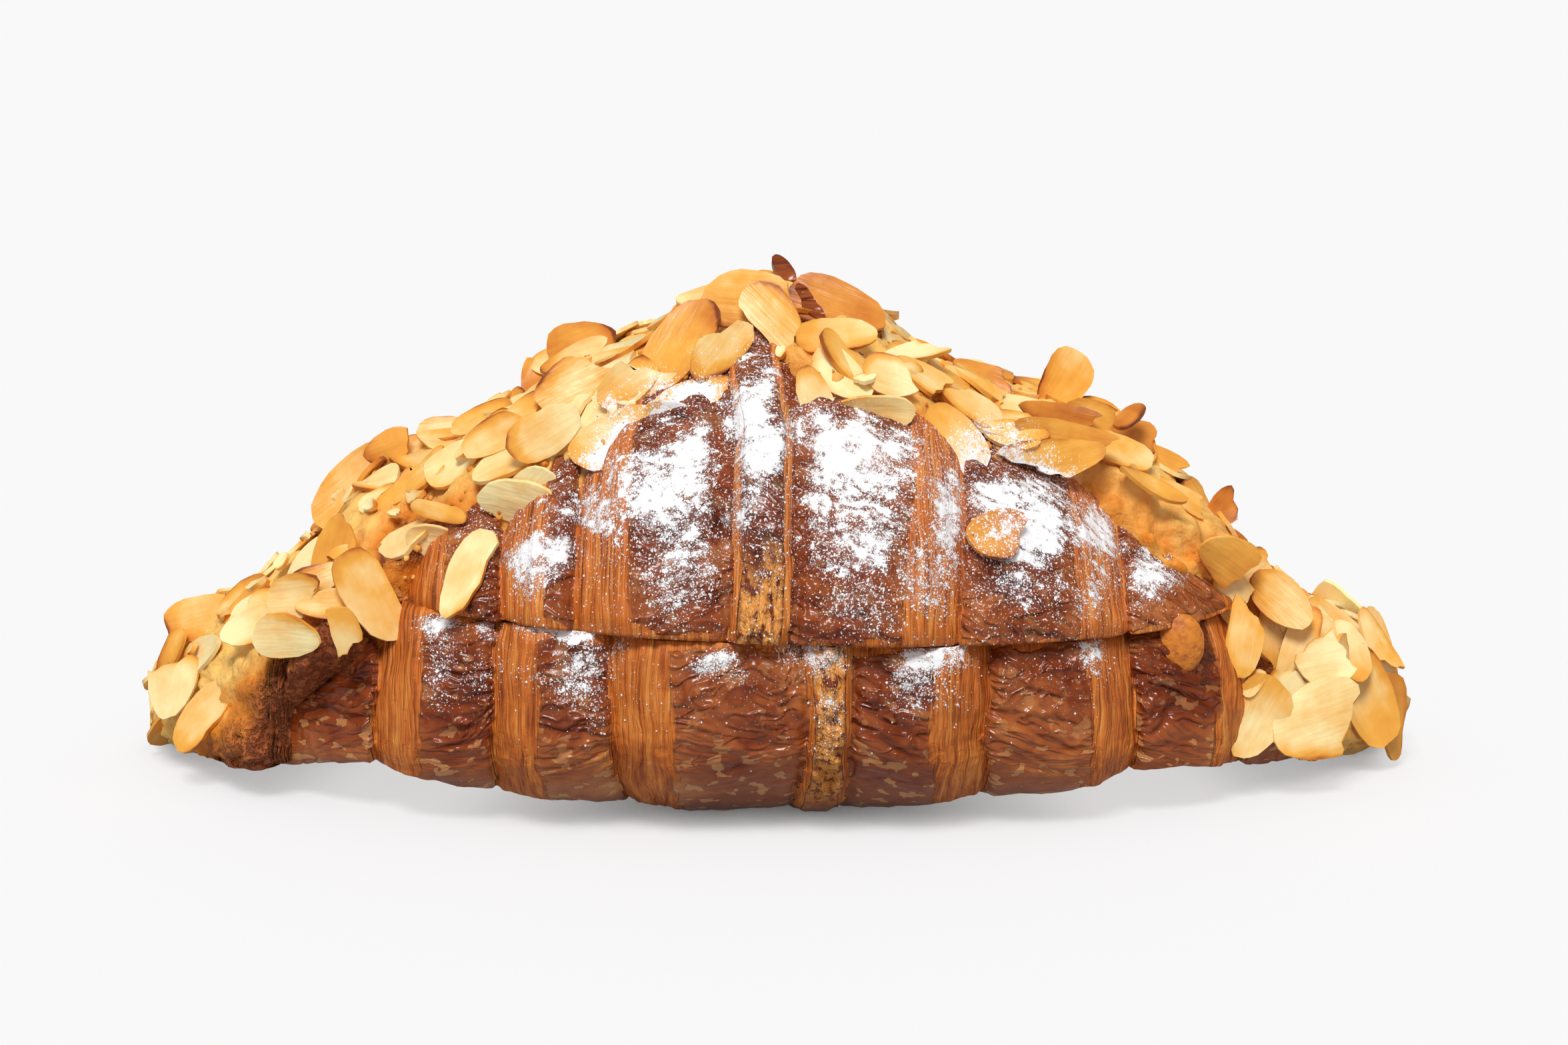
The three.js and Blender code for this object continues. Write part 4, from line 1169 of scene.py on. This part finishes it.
def flake_places(template, index, length, width, thickness, placed):
    """One flake's vertices: an uneven oval slice with a pointed end, cupped and a little twisted."""
    angle = np.arctan2(template[:, 1], template[:, 0])
    ring = np.hypot(template[:, 0], template[:, 1])
    blunt = mix(1.8, 2.7, draw(index, 11))
    oval = (np.abs(np.cos(angle)) ** blunt + np.abs(np.sin(angle)) ** blunt) ** (-1 / blunt)
    uneven = 1
    for waves, depth, channel in FLAKE_WAVES:
        uneven = uneven + depth * np.sin(waves * angle + 6 * draw(index, channel))
    uneven = oval * uneven
    x = ring * np.cos(angle) * uneven
    y = ring * np.sin(angle) * uneven * (1 - 0.35 * (2 * draw(index, 14) - 1) * x)
    for part in range(2):
        if draw(index, 15 + 30 * part) < 0.5 - 0.2 * part:
            cut = (1.2 + 4 * part) * (draw(index, 16 + 30 * part) - 0.5)
            limit = mix(0.35, 0.85, draw(index, 17 + 30 * part))
            ahead = x * math.cos(cut) + y * math.sin(cut)
            beside = y * math.cos(cut) - x * math.sin(cut)
            jag = 0.05 * np.sin(beside * 7 + 6 * draw(index, 25)) + 0.03 * np.sin(beside * 19 + index)
            over = np.maximum(ahead - (limit + jag) * mix(0.7, 1, ring), 0)
            x = x - over * math.cos(cut)
            y = y - over * math.sin(cut)
    long_place = x * length / 2
    wide_place = y * width / 2
    cup = 0.05 * (1.6 * draw(index, 1) - 0.5)
    curl = 0.12 * (draw(index, 18) - 0.4)
    twist = 0.07 * (2 * draw(index, 19) - 1)
    wave = 0.08 * np.sin(3.2 * x + 6 * draw(index, 20)) + 0.05 * np.sin(5 * y + 6 * draw(index, 21))
    bend = cup * length * (x ** 2 - 0.3) + curl * width * (y ** 2 - 0.3) + twist * length * x * y + wave
    level = bend + np.where(template[:, 2] > 0.5, thickness / 2, -thickness / 2)
    long_side, wide_side, face, centre = placed
    places = (centre + long_place[:, None] * long_side + wide_place[:, None] * wide_side
              + level[:, None] * face)
    browned = 0.62 + 0.38 * np.cos(angle - 6.3 * draw(index, 27))
    marks = {
        "rim": ring * browned, "along": long_place + 31 * draw(index, 22),
        "across": wide_place + 17 * draw(index, 23), "toast": 0.5 * (draw(index, 28) - 0.5) * x}
    return places, marks


def front_flakes(roll, cream):
    """Frame, length, width and toast of each flake that is placed as it is seen."""
    crust = upper_surface(roll)
    rows = [(row, cream, 0.5) for row in FRONT_FLAKES]
    rows += [(row, cream, 1.0) for row in SMALL_FLAKES]
    rows += [(row, crust, 0.4) for row in STUCK_FLAKES]
    for index, (row, surface, lift) in enumerate(rows):
        facing = STUCK_FACING if surface is crust else FLAKE_FACING
        tilt = 0.0 if surface is crust else FLAKE_TILT * (draw(index, 31) - 0.5)
        if len(row) > 6:
            facing = row[6]
            tilt = 0.0
        if row[5] > 1:
            lift += BURNT_LIFT
        placed = front_frame(roll, surface, row, facing, lift, tilt)
        shown = math.sqrt(max(1 - (placed[0] @ TOWARDS_VIEWER) ** 2, 0.4))
        golden_side = (20 < row[0]) + 0.5 * (20 < row[0] < 66) + (-66 < row[0] < -44)
        toast = row[5] + 0.5 * (draw(index, 39) - 0.42) + 0.2 * golden_side
        yield placed, row[2] / shown, row[3], toast


def on_cream(roll, station, angle, margin=0.0):
    """Whether a place is inside the cream's edge by more than a margin."""
    return cream_rise(roll, np.array([station]), np.array([angle]))[1][0] > margin


def spread_flakes(roll, cream, count):
    """The same for the flakes laid over the crest and the back."""
    for index in range(count):
        station = mix(-SPREAD_REACH, SPREAD_REACH, index * GOLDEN % 1)
        angle = mix(*SPREAD_ANGLES, (index + 0.5) / count)
        if on_cream(roll, station, angle):
            length = mix(*SPREAD_LENGTHS, draw(index, 2))
            width = length * mix(*FLAKE_ASPECT, draw(index, 6))
            turn = draw(index, 3) * 2 * math.pi
            stand = math.radians(SPREAD_STAND * (2 * draw(index, 4) - 1))
            lift = 0.6 * draw(index, 7) - 0.3
            placed = lying_frame(cream, station, angle, length, width, turn, stand, lift)
            yield placed, length, width, 0.1 + 0.55 * draw(index, 5)


def crest_flakes(roll, cream, count):
    """The same for the flakes that lie flat along the crest."""
    for index in range(count):
        station = mix(-CREST_REACH, CREST_REACH, (index * GOLDEN + 0.2) % 1)
        angle = mix(*CREST_ANGLES, draw(index, 41))
        if on_cream(roll, station, angle):
            length = mix(*CREST_LENGTHS, draw(index, 42))
            width = length * mix(*FLAKE_ASPECT, draw(index, 43))
            turn = 6.3 * draw(index, 45)
            stand = math.radians(2 * CREST_STAND * draw(index, 44) - CREST_STAND)
            lift = 0.5 * draw(index, 46) - 0.4
            placed = lying_frame(cream, station, angle, length, width, turn, stand, lift)
            yield placed, length, width, 0.1 + 0.5 * draw(index, 47)


def tip_flakes(cream, count):
    """The same for the flakes on the blunt ends of both tips."""
    for index in range(2 * count):
        length = mix(*TIP_LENGTHS, draw(index, 52))
        width = length * mix(*TIP_ASPECT, draw(index, 53))
        yield tip_frame(cream, index, count), length, width, 0.05 + 0.45 * draw(index, 54)


def loose_flakes(roll, cream, settings):
    """The same for the flakes between the larger ones in front, and for the broken chips."""
    rows = [(index, True) for index in range(settings.fill_flakes)]
    rows += [(index + 500, False) for index in range(settings.chips)]
    for index, whole in rows:
        station = mix(-SPREAD_REACH, SPREAD_REACH, (index * GOLDEN + 0.37) % 1)
        angle = mix(*FILL_ANGLES, draw(index, 32))
        if on_cream(roll, station, angle, 0.5):
            length = mix(*(FILL_LENGTHS if whole else CHIP_LENGTHS), draw(index, 33))
            width = length * mix(*FILL_ASPECT, draw(index, 34))
            turn = draw(index, 35) * 2 * math.pi
            lift = 0.5 + draw(index, 37)
            if whole:
                turn = math.radians(mix(-FILL_TURN, FILL_TURN, draw(index, 35)))
                lift = 0.2 * draw(index, 37) - 0.4
            stand = math.radians(mix(0, FILL_STAND, draw(index, 36)))
            placed = lying_frame(cream, station, angle, length, width, turn, stand, lift)
            if whole or not BARE_CREAM[0] < placed[3][0] < BARE_CREAM[1]:
                yield placed, length, width, 0.05 + 0.6 * draw(index, 38) ** 1.5


def flake_plan(roll, settings):
    """Where every flake lies: its frame, length, width and toast."""
    cream = cream_surface(roll)
    plan = list(front_flakes(roll, cream))
    plan += spread_flakes(roll, cream, settings.spread_flakes)
    plan += crest_flakes(roll, cream, settings.crest_flakes)
    plan += tip_flakes(cream, settings.tip_flakes)
    plan += loose_flakes(roll, cream, settings)
    return plan


def flake_mesh(name, plan, thickness, extra_marks):
    """Many flakes as one mesh."""
    template, template_faces = flake_template()
    places = []
    faces = []
    marks = {mark: [] for mark in ("rim", "along", "across", "toast")}
    for index, (placed, length, width, toast) in enumerate(plan):
        own, own_marks = flake_places(template, index, length, width, thickness, placed)
        first = len(template) * index
        faces += [tuple(corner + first for corner in face) for face in template_faces]
        places.append(own)
        own_marks["toast"] = np.clip(own_marks["toast"] + toast, 0, 1.2)
        for mark, values in own_marks.items():
            marks[mark].append(values)
    places = np.concatenate(places)
    places[:, 2] = np.maximum(places[:, 2], 0.05)
    marks = {mark: np.concatenate(values) for mark, values in marks.items()}
    marks.update(extra_marks(places))
    piece = joined_mesh(name, places, faces, marks)
    bpy.ops.object.shade_smooth_by_angle(angle=SHARP_ANGLE)
    return piece


def settings_of(context):
    return context.scene.croissant


def made(things, name):
    """A piece or material that an operator before this one made."""
    thing = things.get(name)
    if thing is None:
        raise RuntimeError(f"{name} is not made yet")
    return thing


class CROISSANT_OT_lower_half(bpy.types.Operator):
    """Build the lower half of the slit roll"""

    bl_idname = "croissant.lower_half"
    bl_label = "Lower half"

    def execute(self, context):
        settings = settings_of(context)
        piece = round_shell("lower_half", *LOWER_GRID, half_shape(Roll(settings.roll), False))
        finish_piece(piece, crust_material(settings), "crust", "bottom_half")
        return {"FINISHED"}


class CROISSANT_OT_upper_half(bpy.types.Operator):
    """Build the upper half of the slit roll"""

    bl_idname = "croissant.upper_half"
    bl_label = "Upper half"

    def execute(self, context):
        settings = settings_of(context)
        piece = round_shell("upper_half", *UPPER_GRID, half_shape(Roll(settings.roll), True))
        finish_piece(piece, made(bpy.data.materials, "browned_crust"), "crust", "top_half")
        return {"FINISHED"}


def slit_half_width(roll, station):
    top = roll.crest_at(station)
    rise = (roll.slit_height - BELLY * top) / (top - BELLY * top)
    share = np.sqrt(np.clip(1 - rise ** 2, 0, 1)) ** SECTION_FULLNESS
    return np.where(rise < 1, roll.width_at(station) * share, 0)


def filling_shape(roll):
    """The layer in the slit."""
    scan = np.linspace(0, 0.95, 400)
    end = scan[slit_half_width(roll, scan) > 2 * FILLING_INSET].max()

    def shape(along, turn):
        share = np.sin((along - 0.5) * math.pi)
        swell = np.sqrt(np.maximum(1 - share ** 2, 0))
        width = np.maximum(slit_half_width(roll, share * end) - FILLING_INSET, 0)
        angle = turn * 2 * math.pi
        x = roll.half_length * end * share
        y = roll.bend * (share * end) ** 2 + width * swell ** 0.25 * np.cos(angle)
        z = roll.slit_at(x) + FILLING_HALF_HEIGHT * swell * np.sin(angle)
        return np.stack((x, y, z), -1), {}

    return shape


def lower_front(roll, x, height):
    """Y of the lower half's front at X and a height."""
    station = x / roll.half_length
    place = np.zeros(3)
    for _ in range(6):
        top = float(roll.crest_at(station))
        rise = float(np.clip((height - BELLY * top) / (top - BELLY * top), -1, 1))
        angle = np.array([math.pi - math.asin(rise)])
        here = np.array([station])
        push = layer_relief(roll, LOWER_LAYERS, here, angle, 0.0)[0]
        place = roll.point(here, angle, push)[0]
        station += (x - place[0]) / roll.half_length
    return place[1]


def drip_boxes(roll):
    """Boxes of the filling's tongue and of the drip at its end."""
    slit = roll.slit_at(DRIP_X)
    rim = lower_front(roll, DRIP_X, slit)
    hang = lower_front(roll, DRIP_X, slit - DRIP_HANG) - DRIP_STAND
    return np.array((DRIP_X, rim, slit)) + TONGUE_REACH, np.array((DRIP_X, hang, slit)) + DRIP_REACH


class CROISSANT_OT_filling(bpy.types.Operator):
    """Build the filling and its drip"""

    bl_idname = "croissant.filling"
    bl_label = "Filling"

    def execute(self, context):
        settings = settings_of(context)
        roll = Roll(settings.roll)
        layer = round_shell("filling", *FILLING_GRID, filling_shape(roll))
        for low, high in drip_boxes(roll):
            deselect()
            rings, sides = DROP_GRID
            bpy.ops.mesh.primitive_uv_sphere_add(segments=sides, ring_count=rings, radius=1.0)
            drop = context.object
            write_places(drop, (low + high) / 2 + read_places(drop) * (high - low) / 2)
            drop.select_set(True)
            layer.select_set(True)
            context.view_layer.objects.active = layer
            bpy.ops.object.join()
        remesh = layer.modifiers.new("one_skin", "REMESH")
        remesh.mode = "VOXEL"
        remesh.voxel_size = FILLING_VOXEL * MM
        bpy.ops.object.modifier_apply(modifier=remesh.name)
        soften = layer.modifiers.new("soften", "SMOOTH")
        soften.iterations = FILLING_SOFTENING
        bpy.ops.object.modifier_apply(modifier=soften.name)
        bpy.ops.object.shade_smooth()
        finish_piece(layer, filling_material(settings), "filling", "almond_filling")
        return {"FINISHED"}


class CROISSANT_OT_cream(bpy.types.Operator):
    """Build the almond cream on the crest and the tips"""

    bl_idname = "croissant.cream"
    bl_label = "Cream"

    def execute(self, context):
        settings = settings_of(context)
        piece = round_shell("almond_cream", *CREAM_GRID, cream_shape(Roll(settings.roll)))
        finish_piece(piece, cream_material(settings), "topping", "almond_topping")
        return {"FINISHED"}


def scatter(name, origins, normals, weights, sizes, sides, seed, marks):
    """Many small uneven balls at faces picked by their weights, as one mesh."""
    chance = np.random.default_rng(seed)
    count = len(sizes)
    picked = chance.choice(len(origins), count, p=weights / weights.sum())
    deselect()
    bpy.ops.mesh.primitive_uv_sphere_add(segments=sides, ring_count=sides // 2, radius=1.0)
    bpy.ops.object.mode_set(mode="EDIT")
    bpy.ops.mesh.select_all(action="SELECT")
    bpy.ops.mesh.quads_convert_to_tris()
    bpy.ops.object.mode_set(mode="OBJECT")
    ball, ball_faces = template_of(bpy.context.object)
    jitter = 1 + BALL_UNEVENNESS * (chance.random((count, len(ball))) - 0.5)
    stray = BALL_STRAY * (chance.random((count, 3)) - 0.5)
    centre = origins[picked] + stray + normals[picked] * (sizes * BALL_STAND)[:, None]
    corners = centre[:, None, :] + ball[None] * (sizes[:, None] * jitter)[:, :, None]
    firsts = (np.arange(count) * len(ball))[:, None, None]
    faces = (np.array(ball_faces)[None] + firsts).reshape(-1, 3)
    drawn = {mark: values(chance.random(count)) for mark, values in marks.items()}
    drawn = {mark: np.repeat(values, len(ball)) for mark, values in drawn.items()}
    piece = joined_mesh(name, corners.reshape(-1, 3), faces.tolist(), drawn)
    bpy.ops.object.shade_smooth()
    return piece


def marked_faces(piece, mark):
    """Centres and normals of a piece's faces, their areas, and a mark on each."""
    mesh = piece.data
    count = len(mesh.polygons)
    centres = np.empty(count * 3, np.float32)
    normals = np.empty(count * 3, np.float32)
    areas = np.empty(count, np.float32)
    firsts = np.empty(count, np.int32)
    corners = np.empty(len(mesh.loops), np.int32)
    mesh.polygons.foreach_get("center", centres)
    mesh.polygons.foreach_get("normal", normals)
    mesh.polygons.foreach_get("area", areas)
    mesh.polygons.foreach_get("loop_start", firsts)
    mesh.loops.foreach_get("vertex_index", corners)
    values = read_mark(piece, mark)[corners[firsts]]
    places = centres.reshape(-1, 3) / MM - ROLL_PLACE
    return places, normals.reshape(-1, 3).astype(float), areas.astype(float), values


class CROISSANT_OT_crumbs(bpy.types.Operator):
    """Scatter crumbs of cream along its edge"""

    bl_idname = "croissant.crumbs"
    bl_label = "Crumbs"

    def execute(self, context):
        settings = settings_of(context).almond
        places, normals, areas, inside = marked_faces(made(bpy.data.objects, "almond_cream"), "inside")
        near_edge = np.exp(-((inside - 0.5) / 2.0) ** 2) + 0.08 * (inside > 0)
        weights = areas * near_edge * smooth(places[:, 0], -56, -50) * smooth(-places[:, 0], -40, -34)
        sizes = mix(*CRUMB_SIZES, np.random.default_rng(3).random(settings.crumbs) ** 2)
        marks = {"toast": lambda share: 0.1 + 0.5 * share, "sugar": lambda share: 0 * share}
        piece = scatter("cream_crumbs", places, normals, weights, sizes, CRUMB_SIDES, 4, marks)
        finish_piece(piece, made(bpy.data.materials, "baked_cream"), "topping")
        return {"FINISHED"}


class CROISSANT_OT_flakes(bpy.types.Operator):
    """Build the flaked almonds"""

    bl_idname = "croissant.flakes"
    bl_label = "Flaked almonds"

    def execute(self, context):
        settings = settings_of(context)

        def dusted(places):
            x, sight = seen(places)
            front = patches(FLAKE_SUGAR, x, sight) * smooth(-places[:, 1], -12, 0)
            stuck = 0.5 * patches(UPPER_SUGAR, x, sight) * smooth(-places[:, 1], 10, 20)
            return {"sugar": np.maximum(front, stuck)}

        plan = flake_plan(Roll(settings.roll), settings.almond)
        piece = flake_mesh("flaked_almonds", plan, settings.almond.flake_thickness / MM, dusted)
        finish_piece(piece, flake_material(settings), "topping")
        return {"FINISHED"}


class CROISSANT_OT_strap_end(bpy.types.Operator):
    """Build the dark end of the strap that shows at the top"""

    bl_idname = "croissant.strap_end"
    bl_label = "Strap end"

    def execute(self, context):
        roll = Roll(settings_of(context).roll)
        cream = cream_surface(roll)
        plan = [(front_frame(roll, cream, row, 0.5, 1.2), row[2], row[3], row[5]) for row in STRAP_ENDS]

        def bare(places):
            nothing = np.zeros(len(places))
            return {**dict.fromkeys(("layered", "torn", "sugar", "fleck"), nothing), "around": places[:, 2]}

        piece = flake_mesh("strap_end", plan, STRAP_THICKNESS, bare)
        finish_piece(piece, made(bpy.data.materials, "browned_crust"), "crust")
        return {"FINISHED"}


class CROISSANT_OT_icing_sugar(bpy.types.Operator):
    """Scatter clumps of icing sugar where the pieces are dusted"""

    bl_idname = "croissant.icing_sugar"
    bl_label = "Icing sugar"

    def execute(self, context):
        settings = settings_of(context).sugar
        found = [marked_faces(made(bpy.data.objects, name), "sugar") for name in DUSTED_PIECES]
        places, normals, areas, cover = [np.concatenate(part) for part in zip(*found)]
        on_flakes = np.arange(len(areas)) >= len(areas) - len(found[2][2])
        weights = areas * np.maximum(cover, 0) ** 1.5 * smooth(normals[:, 2], -0.6, 0.3)
        weights = np.where(on_flakes, 0.06, 1.0) * weights
        share = np.random.default_rng(8).random(settings.clumps) ** 2.6
        sizes = mix(settings.smallest, settings.largest, share) / MM
        piece = scatter("icing_sugar", places, normals, weights, sizes, CLUMP_SIDES, 5, {})
        finish_piece(piece, sugar_material(settings_of(context)), "topping")
        return {"FINISHED"}


class CROISSANT_OT_stage(bpy.types.Operator):
    """Set up the floor, the light and the camera"""

    bl_idname = "croissant.stage"
    bl_label = "Stage"

    def execute(self, context):
        settings = settings_of(context).stage
        deselect()
        bpy.ops.mesh.primitive_plane_add(size=FLOOR_SIZE, location=(0, 0, 0))
        floor = context.object
        floor.name = "floor"
        paint = Paint("pale_floor")
        # The floor glows by itself: fully as the camera sees it, a quarter as strongly as light thrown onto
        # the croissant; near the croissant ambient occlusion dims that glow, a painted contact shadow
        in_sight = paint.node("ShaderNodeLightPath", {}, {}, "Is Camera Ray")
        open_air = paint.node(
            "ShaderNodeAmbientOcclusion", {"samples": 3}, {"Distance": CONTACT_REACH * MM}, "AO")
        shade = open_air.smooth(0.0, 0.42) * 0.85 + 0.15
        paint.shade({
            "Base Color": settings.floor, "Roughness": 0.9, "Specular IOR Level": 0.1,
            "Emission Color": (in_sight * 0.75 + 0.25) * shade, "Emission Strength": settings.glow})
        floor.data.materials.append(paint.material)
        world = bpy.data.worlds.new("studio")
        context.scene.world = world
        world.use_nodes = True
        sky = world.node_tree.nodes["Background"]
        sky.inputs["Color"].default_value = (1.0, 1.0, 1.0, 1.0)
        path = world.node_tree.nodes.new("ShaderNodeLightPath")
        dim = world.node_tree.nodes.new("ShaderNodeMapRange")
        dim.inputs["To Min"].default_value = settings.sky
        dim.inputs["To Max"].default_value = settings.sky * settings.gloss
        world.node_tree.links.new(path.outputs["Is Glossy Ray"], dim.inputs["Value"])
        world.node_tree.links.new(dim.outputs["Result"], sky.inputs["Strength"])
        # Name, strength, lean and turn to the side in degrees, and how many times as wide as the soft light
        lights = (("softbox", settings.key, 38, -7, 1), ("back_light", settings.back, -30, 12, 4))
        for name, strength, lean, side, widths in lights:
            light = bpy.data.lights.new(name, "SUN")
            light.energy = strength
            light.angle = settings.key_width * widths
            lamp = bpy.data.objects.new(name, light)
            lamp.rotation_euler = (math.radians(lean), math.radians(side), 0)
            context.scene.collection.objects.link(lamp)
        lens = bpy.data.cameras.new("camera")
        lens.lens = settings.lens
        lens.sensor_width = SENSOR_WIDTH
        lens.clip_start = CLIP_START
        camera = bpy.data.objects.new("camera", lens)
        aim = (SIGHT_CENTRE + ROLL_PLACE) * MM
        camera.location = aim + TOWARDS_VIEWER * settings.distance
        camera.rotation_euler = (math.pi / 2 - settings.elevation, 0, 0)
        context.scene.collection.objects.link(camera)
        context.scene.camera = camera
        context.scene.view_settings.view_transform = "Standard"
        context.scene.view_settings.look = "None"
        return {"FINISHED"}


BUILD_ORDER = (
    "lower_half", "upper_half", "filling", "cream", "crumbs", "flakes", "strap_end", "icing_sugar", "stage",
)


class CROISSANT_PT_panel(bpy.types.Panel):
    """Lists the pieces of the croissant"""

    bl_idname = "CROISSANT_PT_panel"
    bl_label = "Almond croissant"
    bl_space_type = "VIEW_3D"
    bl_region_type = "UI"
    bl_category = "Croissant"

    def draw(self, context):
        for name in BUILD_ORDER:
            self.layout.operator(f"croissant.{name}")


CLASSES = (
    RollSettings, CrustSettings, AlmondSettings, SugarSettings, StageSettings, CroissantSettings,
    CROISSANT_OT_lower_half, CROISSANT_OT_upper_half, CROISSANT_OT_filling, CROISSANT_OT_cream,
    CROISSANT_OT_crumbs, CROISSANT_OT_flakes, CROISSANT_OT_strap_end, CROISSANT_OT_icing_sugar,
    CROISSANT_OT_stage, CROISSANT_PT_panel,
)


def register():
    for entry in CLASSES:
        bpy.utils.register_class(entry)
    bpy.types.Scene.croissant = bpy.props.PointerProperty(type=CroissantSettings)


def unregister():
    del bpy.types.Scene.croissant
    for entry in reversed(CLASSES):
        bpy.utils.unregister_class(entry)


def main():
    register()
    for name in BUILD_ORDER:
        getattr(bpy.ops.croissant, name)()


if __name__ == "__main__":
    main()
